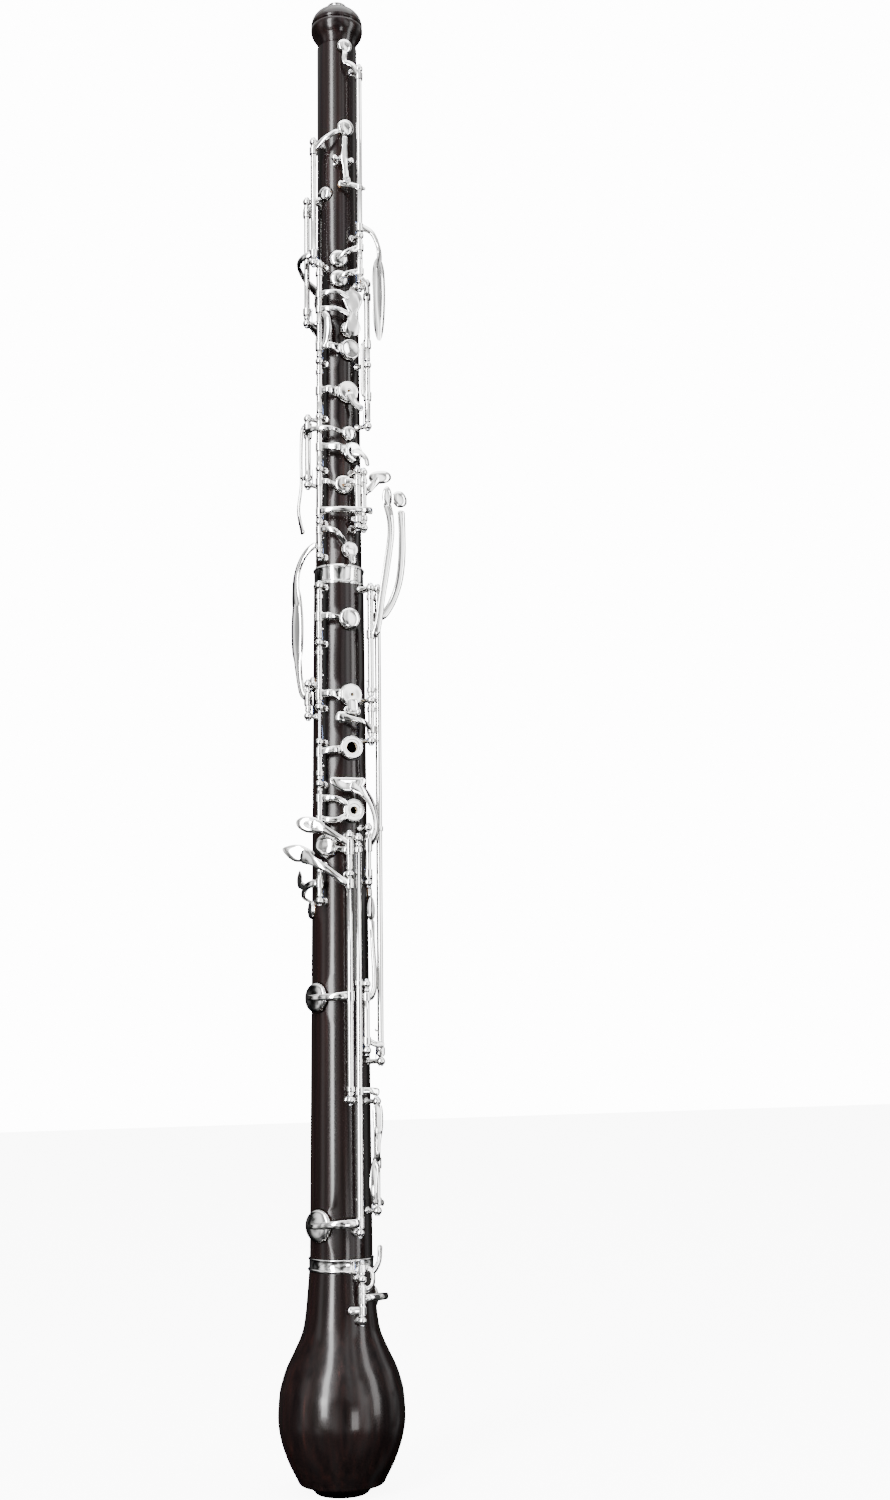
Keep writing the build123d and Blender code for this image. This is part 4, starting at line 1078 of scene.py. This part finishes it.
def rocker_posts(piece, rods):
    """The two small posts of the octave rocker, with its axle between them."""
    for side in (-1, 1):
        top = ROCKER + Vector((side * 4.8, 0, 0))
        n = Vector((top.x, top.y, 0)).normalized()
        foot = n * (wood_radius(ROCKER.z) - 0.3) + Vector((0, 0, ROCKER.z))
        tall = (top - foot).length
        profile = [(0, 0), (1.7, 0), (1.7, 0.6), (1.2, 0.8), (1.0, tall - 1.5)]
        profile += arc((0, tall), 1.8, -52, 89, 12)
        piece.add(lathe(profile, along(foot, n), 24), SILVER)
    axle = Matrix.Translation(ROCKER - Vector((4.8, 0, 0))) @ quarter("Y")
    rods.add(rod_shell(-1.2, 10.8, axle, 20), STEEL)


def posts_and_rods():
    rods = Piece("steel_hinge_rods")
    for node, lines in POSTS.items():
        piece = Piece(node.replace("_posts", "_pillars"))
        for line, heights in lines.items():
            for z in heights:
                piece.add(post_shell(at(*line, z), wood_radius(z)), SILVER)
            for low, high in ROD_BREAKS.get(line, [(min(heights), max(heights))]):
                rod_and_heads(rods, *line, low, high)
        if node == "top_joint_posts":
            rocker_posts(piece, rods)
        piece.make(BODY, "silver_plate", [node])
    rods.make(BODY, "blued_steel", ["hinge_rods"])


def springs():
    """Blued needles from each post, bowing a little outward to press under the tube's catch."""
    piece = Piece("needle_spring_wires")
    thick = (0.62, 0.52, 0.4)
    bow = [(0, 0, 0), (0.5, -0.08, 3), (0.2, 0.05, 6.2), (0, 0.15, 9)]
    for lines in POSTS.values():
        for line, heights in lines.items():
            angle, r = line[0], line[1] - TUBE_R - 1.0
            for z in heights[1:]:
                if (line, z) != NO_SPRING:
                    points = [at(angle + da, r + dr, z + dz) for da, dr, dz in bow]
                    piece.add(strap(points, thick, thick, 8, 2.0), BLUED)
    piece.make(BODY, "blued_steel", ["needle_springs"])


posts_and_rods()
springs()


# ---- room, lights and camera
def area_light(name, place, target, size, power):
    data = bpy.data.lights.new(name, "AREA")
    data.shape = "RECTANGLE"
    data.size, data.size_y = size
    data.energy = power
    obj = bpy.data.objects.new(name, data)
    obj.location = place
    obj.rotation_euler = (Vector(target) - Vector(place)).to_track_quat("-Z", "Y").to_euler()
    bpy.context.scene.collection.objects.link(obj)


def world():
    """White to the camera; to the metal, a studio of bright panels and dark gaps."""
    studio = bpy.data.worlds.new("studio")
    bpy.context.scene.world = studio
    studio.use_nodes = True
    studio.node_tree.nodes.clear()
    g = Graph(studio.node_tree)
    seen = g.node("Background", Color=(1, 1, 1, 1), Strength=14.0)
    room = g.node("Background", Strength=4.2)
    direction = g.node("TexCoord").outputs["Generated"]
    split = g.node("SeparateXYZ")
    g.link(direction, split.inputs["Vector"])
    azimuth = g.math("ARCTAN2", split.outputs["X"], split.outputs["Y"])
    round_room = g.math("MULTIPLY_ADD", azimuth, 1 / FULL_TURN, 0.5)
    height = g.math("MULTIPLY_ADD", split.outputs["Z"], 0.5, 0.5)
    blotches = g.node("TexNoise", Scale=2.6, Detail=2.0)
    g.link(direction, blotches.inputs["Vector"])
    bands = g.ramp(round_room, [
        (0.0, 0.60), (0.025, 0.75), (0.045, 0.10), (0.07, 0.12), (0.10, 0.85), (0.15, 1.0), (0.18, 0.9),
        (0.20, 0.15), (0.225, 0.10), (0.25, 0.45), (0.28, 0.30), (0.31, 0.02), (0.45, 0.01),
        (0.70, 0.01), (0.745, 0.50), (0.77, 0.50), (0.79, 0.02), (0.855, 0.03), (0.87, 0.60),
        (0.885, 0.08), (0.905, 0.10), (0.925, 1.0), (0.96, 1.0), (0.975, 0.30)])
    ceiling = g.ramp(height, [(0.0, 0.0), (0.70, 0.0), (0.86, 0.30), (1.0, 0.80)])
    fade = g.ramp(height, [(0.0, 0.05), (0.30, 0.12), (0.41, 1.0), (0.80, 1.0), (0.95, 0.5)])
    clutter = g.ramp(blotches.outputs["Fac"], [(0.40, 0.06), (0.60, 1.0)])
    panels = g.math("MULTIPLY", g.math("MULTIPLY", bands, fade), clutter)
    g.link(g.math("MAXIMUM", panels, ceiling), room.inputs["Color"])
    mix = g.node("MixShader")
    g.link(g.node("LightPath").outputs["Is Camera Ray"], mix.inputs["Fac"])
    g.link(room.outputs["Background"], mix.inputs[1])
    g.link(seen.outputs["Background"], mix.inputs[2])
    g.link(mix.outputs["Shader"], g.node("OutputWorld").inputs["Surface"])


def floor():
    """A plain pale floor that only the camera sees, so that the metal keeps its dark reflections."""
    edge = 4
    mesh = bpy.data.meshes.new("floor")
    mesh.from_pydata([(-edge, -edge, 0), (edge, -edge, 0), (edge, edge, 0), (-edge, edge, 0)], [],
                     [(0, 1, 2, 3)])
    mesh.materials.append(Look("pale floor").done(
        Base_Color=(0.9, 0.9, 0.9, 1), Roughness=0.9, Emission_Color=(1, 1, 1, 1), Emission_Strength=8.0))
    obj = bpy.data.objects.new("floor", mesh)
    bpy.context.scene.collection.objects.link(obj)
    obj.visible_diffuse = obj.visible_glossy = obj.visible_transmission = False


def camera():
    data = bpy.data.cameras.new("viewpoint")
    data.sensor_width = 36
    data.lens = 43.2
    data.clip_start = 0.01
    obj = bpy.data.objects.new("viewpoint", data)
    eye = Vector((-0.3313, -0.8815, 0.220))
    pitch, roll = math.radians(9.2), math.radians(-0.76)
    aim = LOOK * math.cos(pitch) + Vector((0, 0, math.sin(pitch)))
    turn = aim.to_track_quat("-Z", "Y").to_matrix().to_4x4() @ Matrix.Rotation(roll, 4, "Z")
    obj.matrix_world = Matrix.Translation(eye) @ turn
    bpy.context.scene.collection.objects.link(obj)
    bpy.context.scene.camera = obj


def beside(right, back, z):
    """A light's place: to the right of the camera's direction, back along it, and up."""
    return RIGHT * right - LOOK * back + Vector((0, 0, z))


world()
MIDPOINT, BELL_MIDDLE = (0, 0, 0.42), (0, 0, 0.05)
area_light("window", beside(-0.68, 1.28, 0.75), MIDPOINT, (0.30, 1.7), 60)
area_light("fill", beside(1.3, 0.5, 0.6), MIDPOINT, (0.35, 1.4), 15)
area_light("overhead", (0.0, -0.3, 1.9), (0, 0.1, 0.3), (1.6, 1.2), 20)
area_light("pane_left", beside(-0.70, 1.21, 0.24), BELL_MIDDLE, (0.3, 0.3), 5)
area_light("pane_right", beside(0.63, 1.25, -0.15), BELL_MIDDLE, (0.3, 0.3), 5)
floor()
camera()
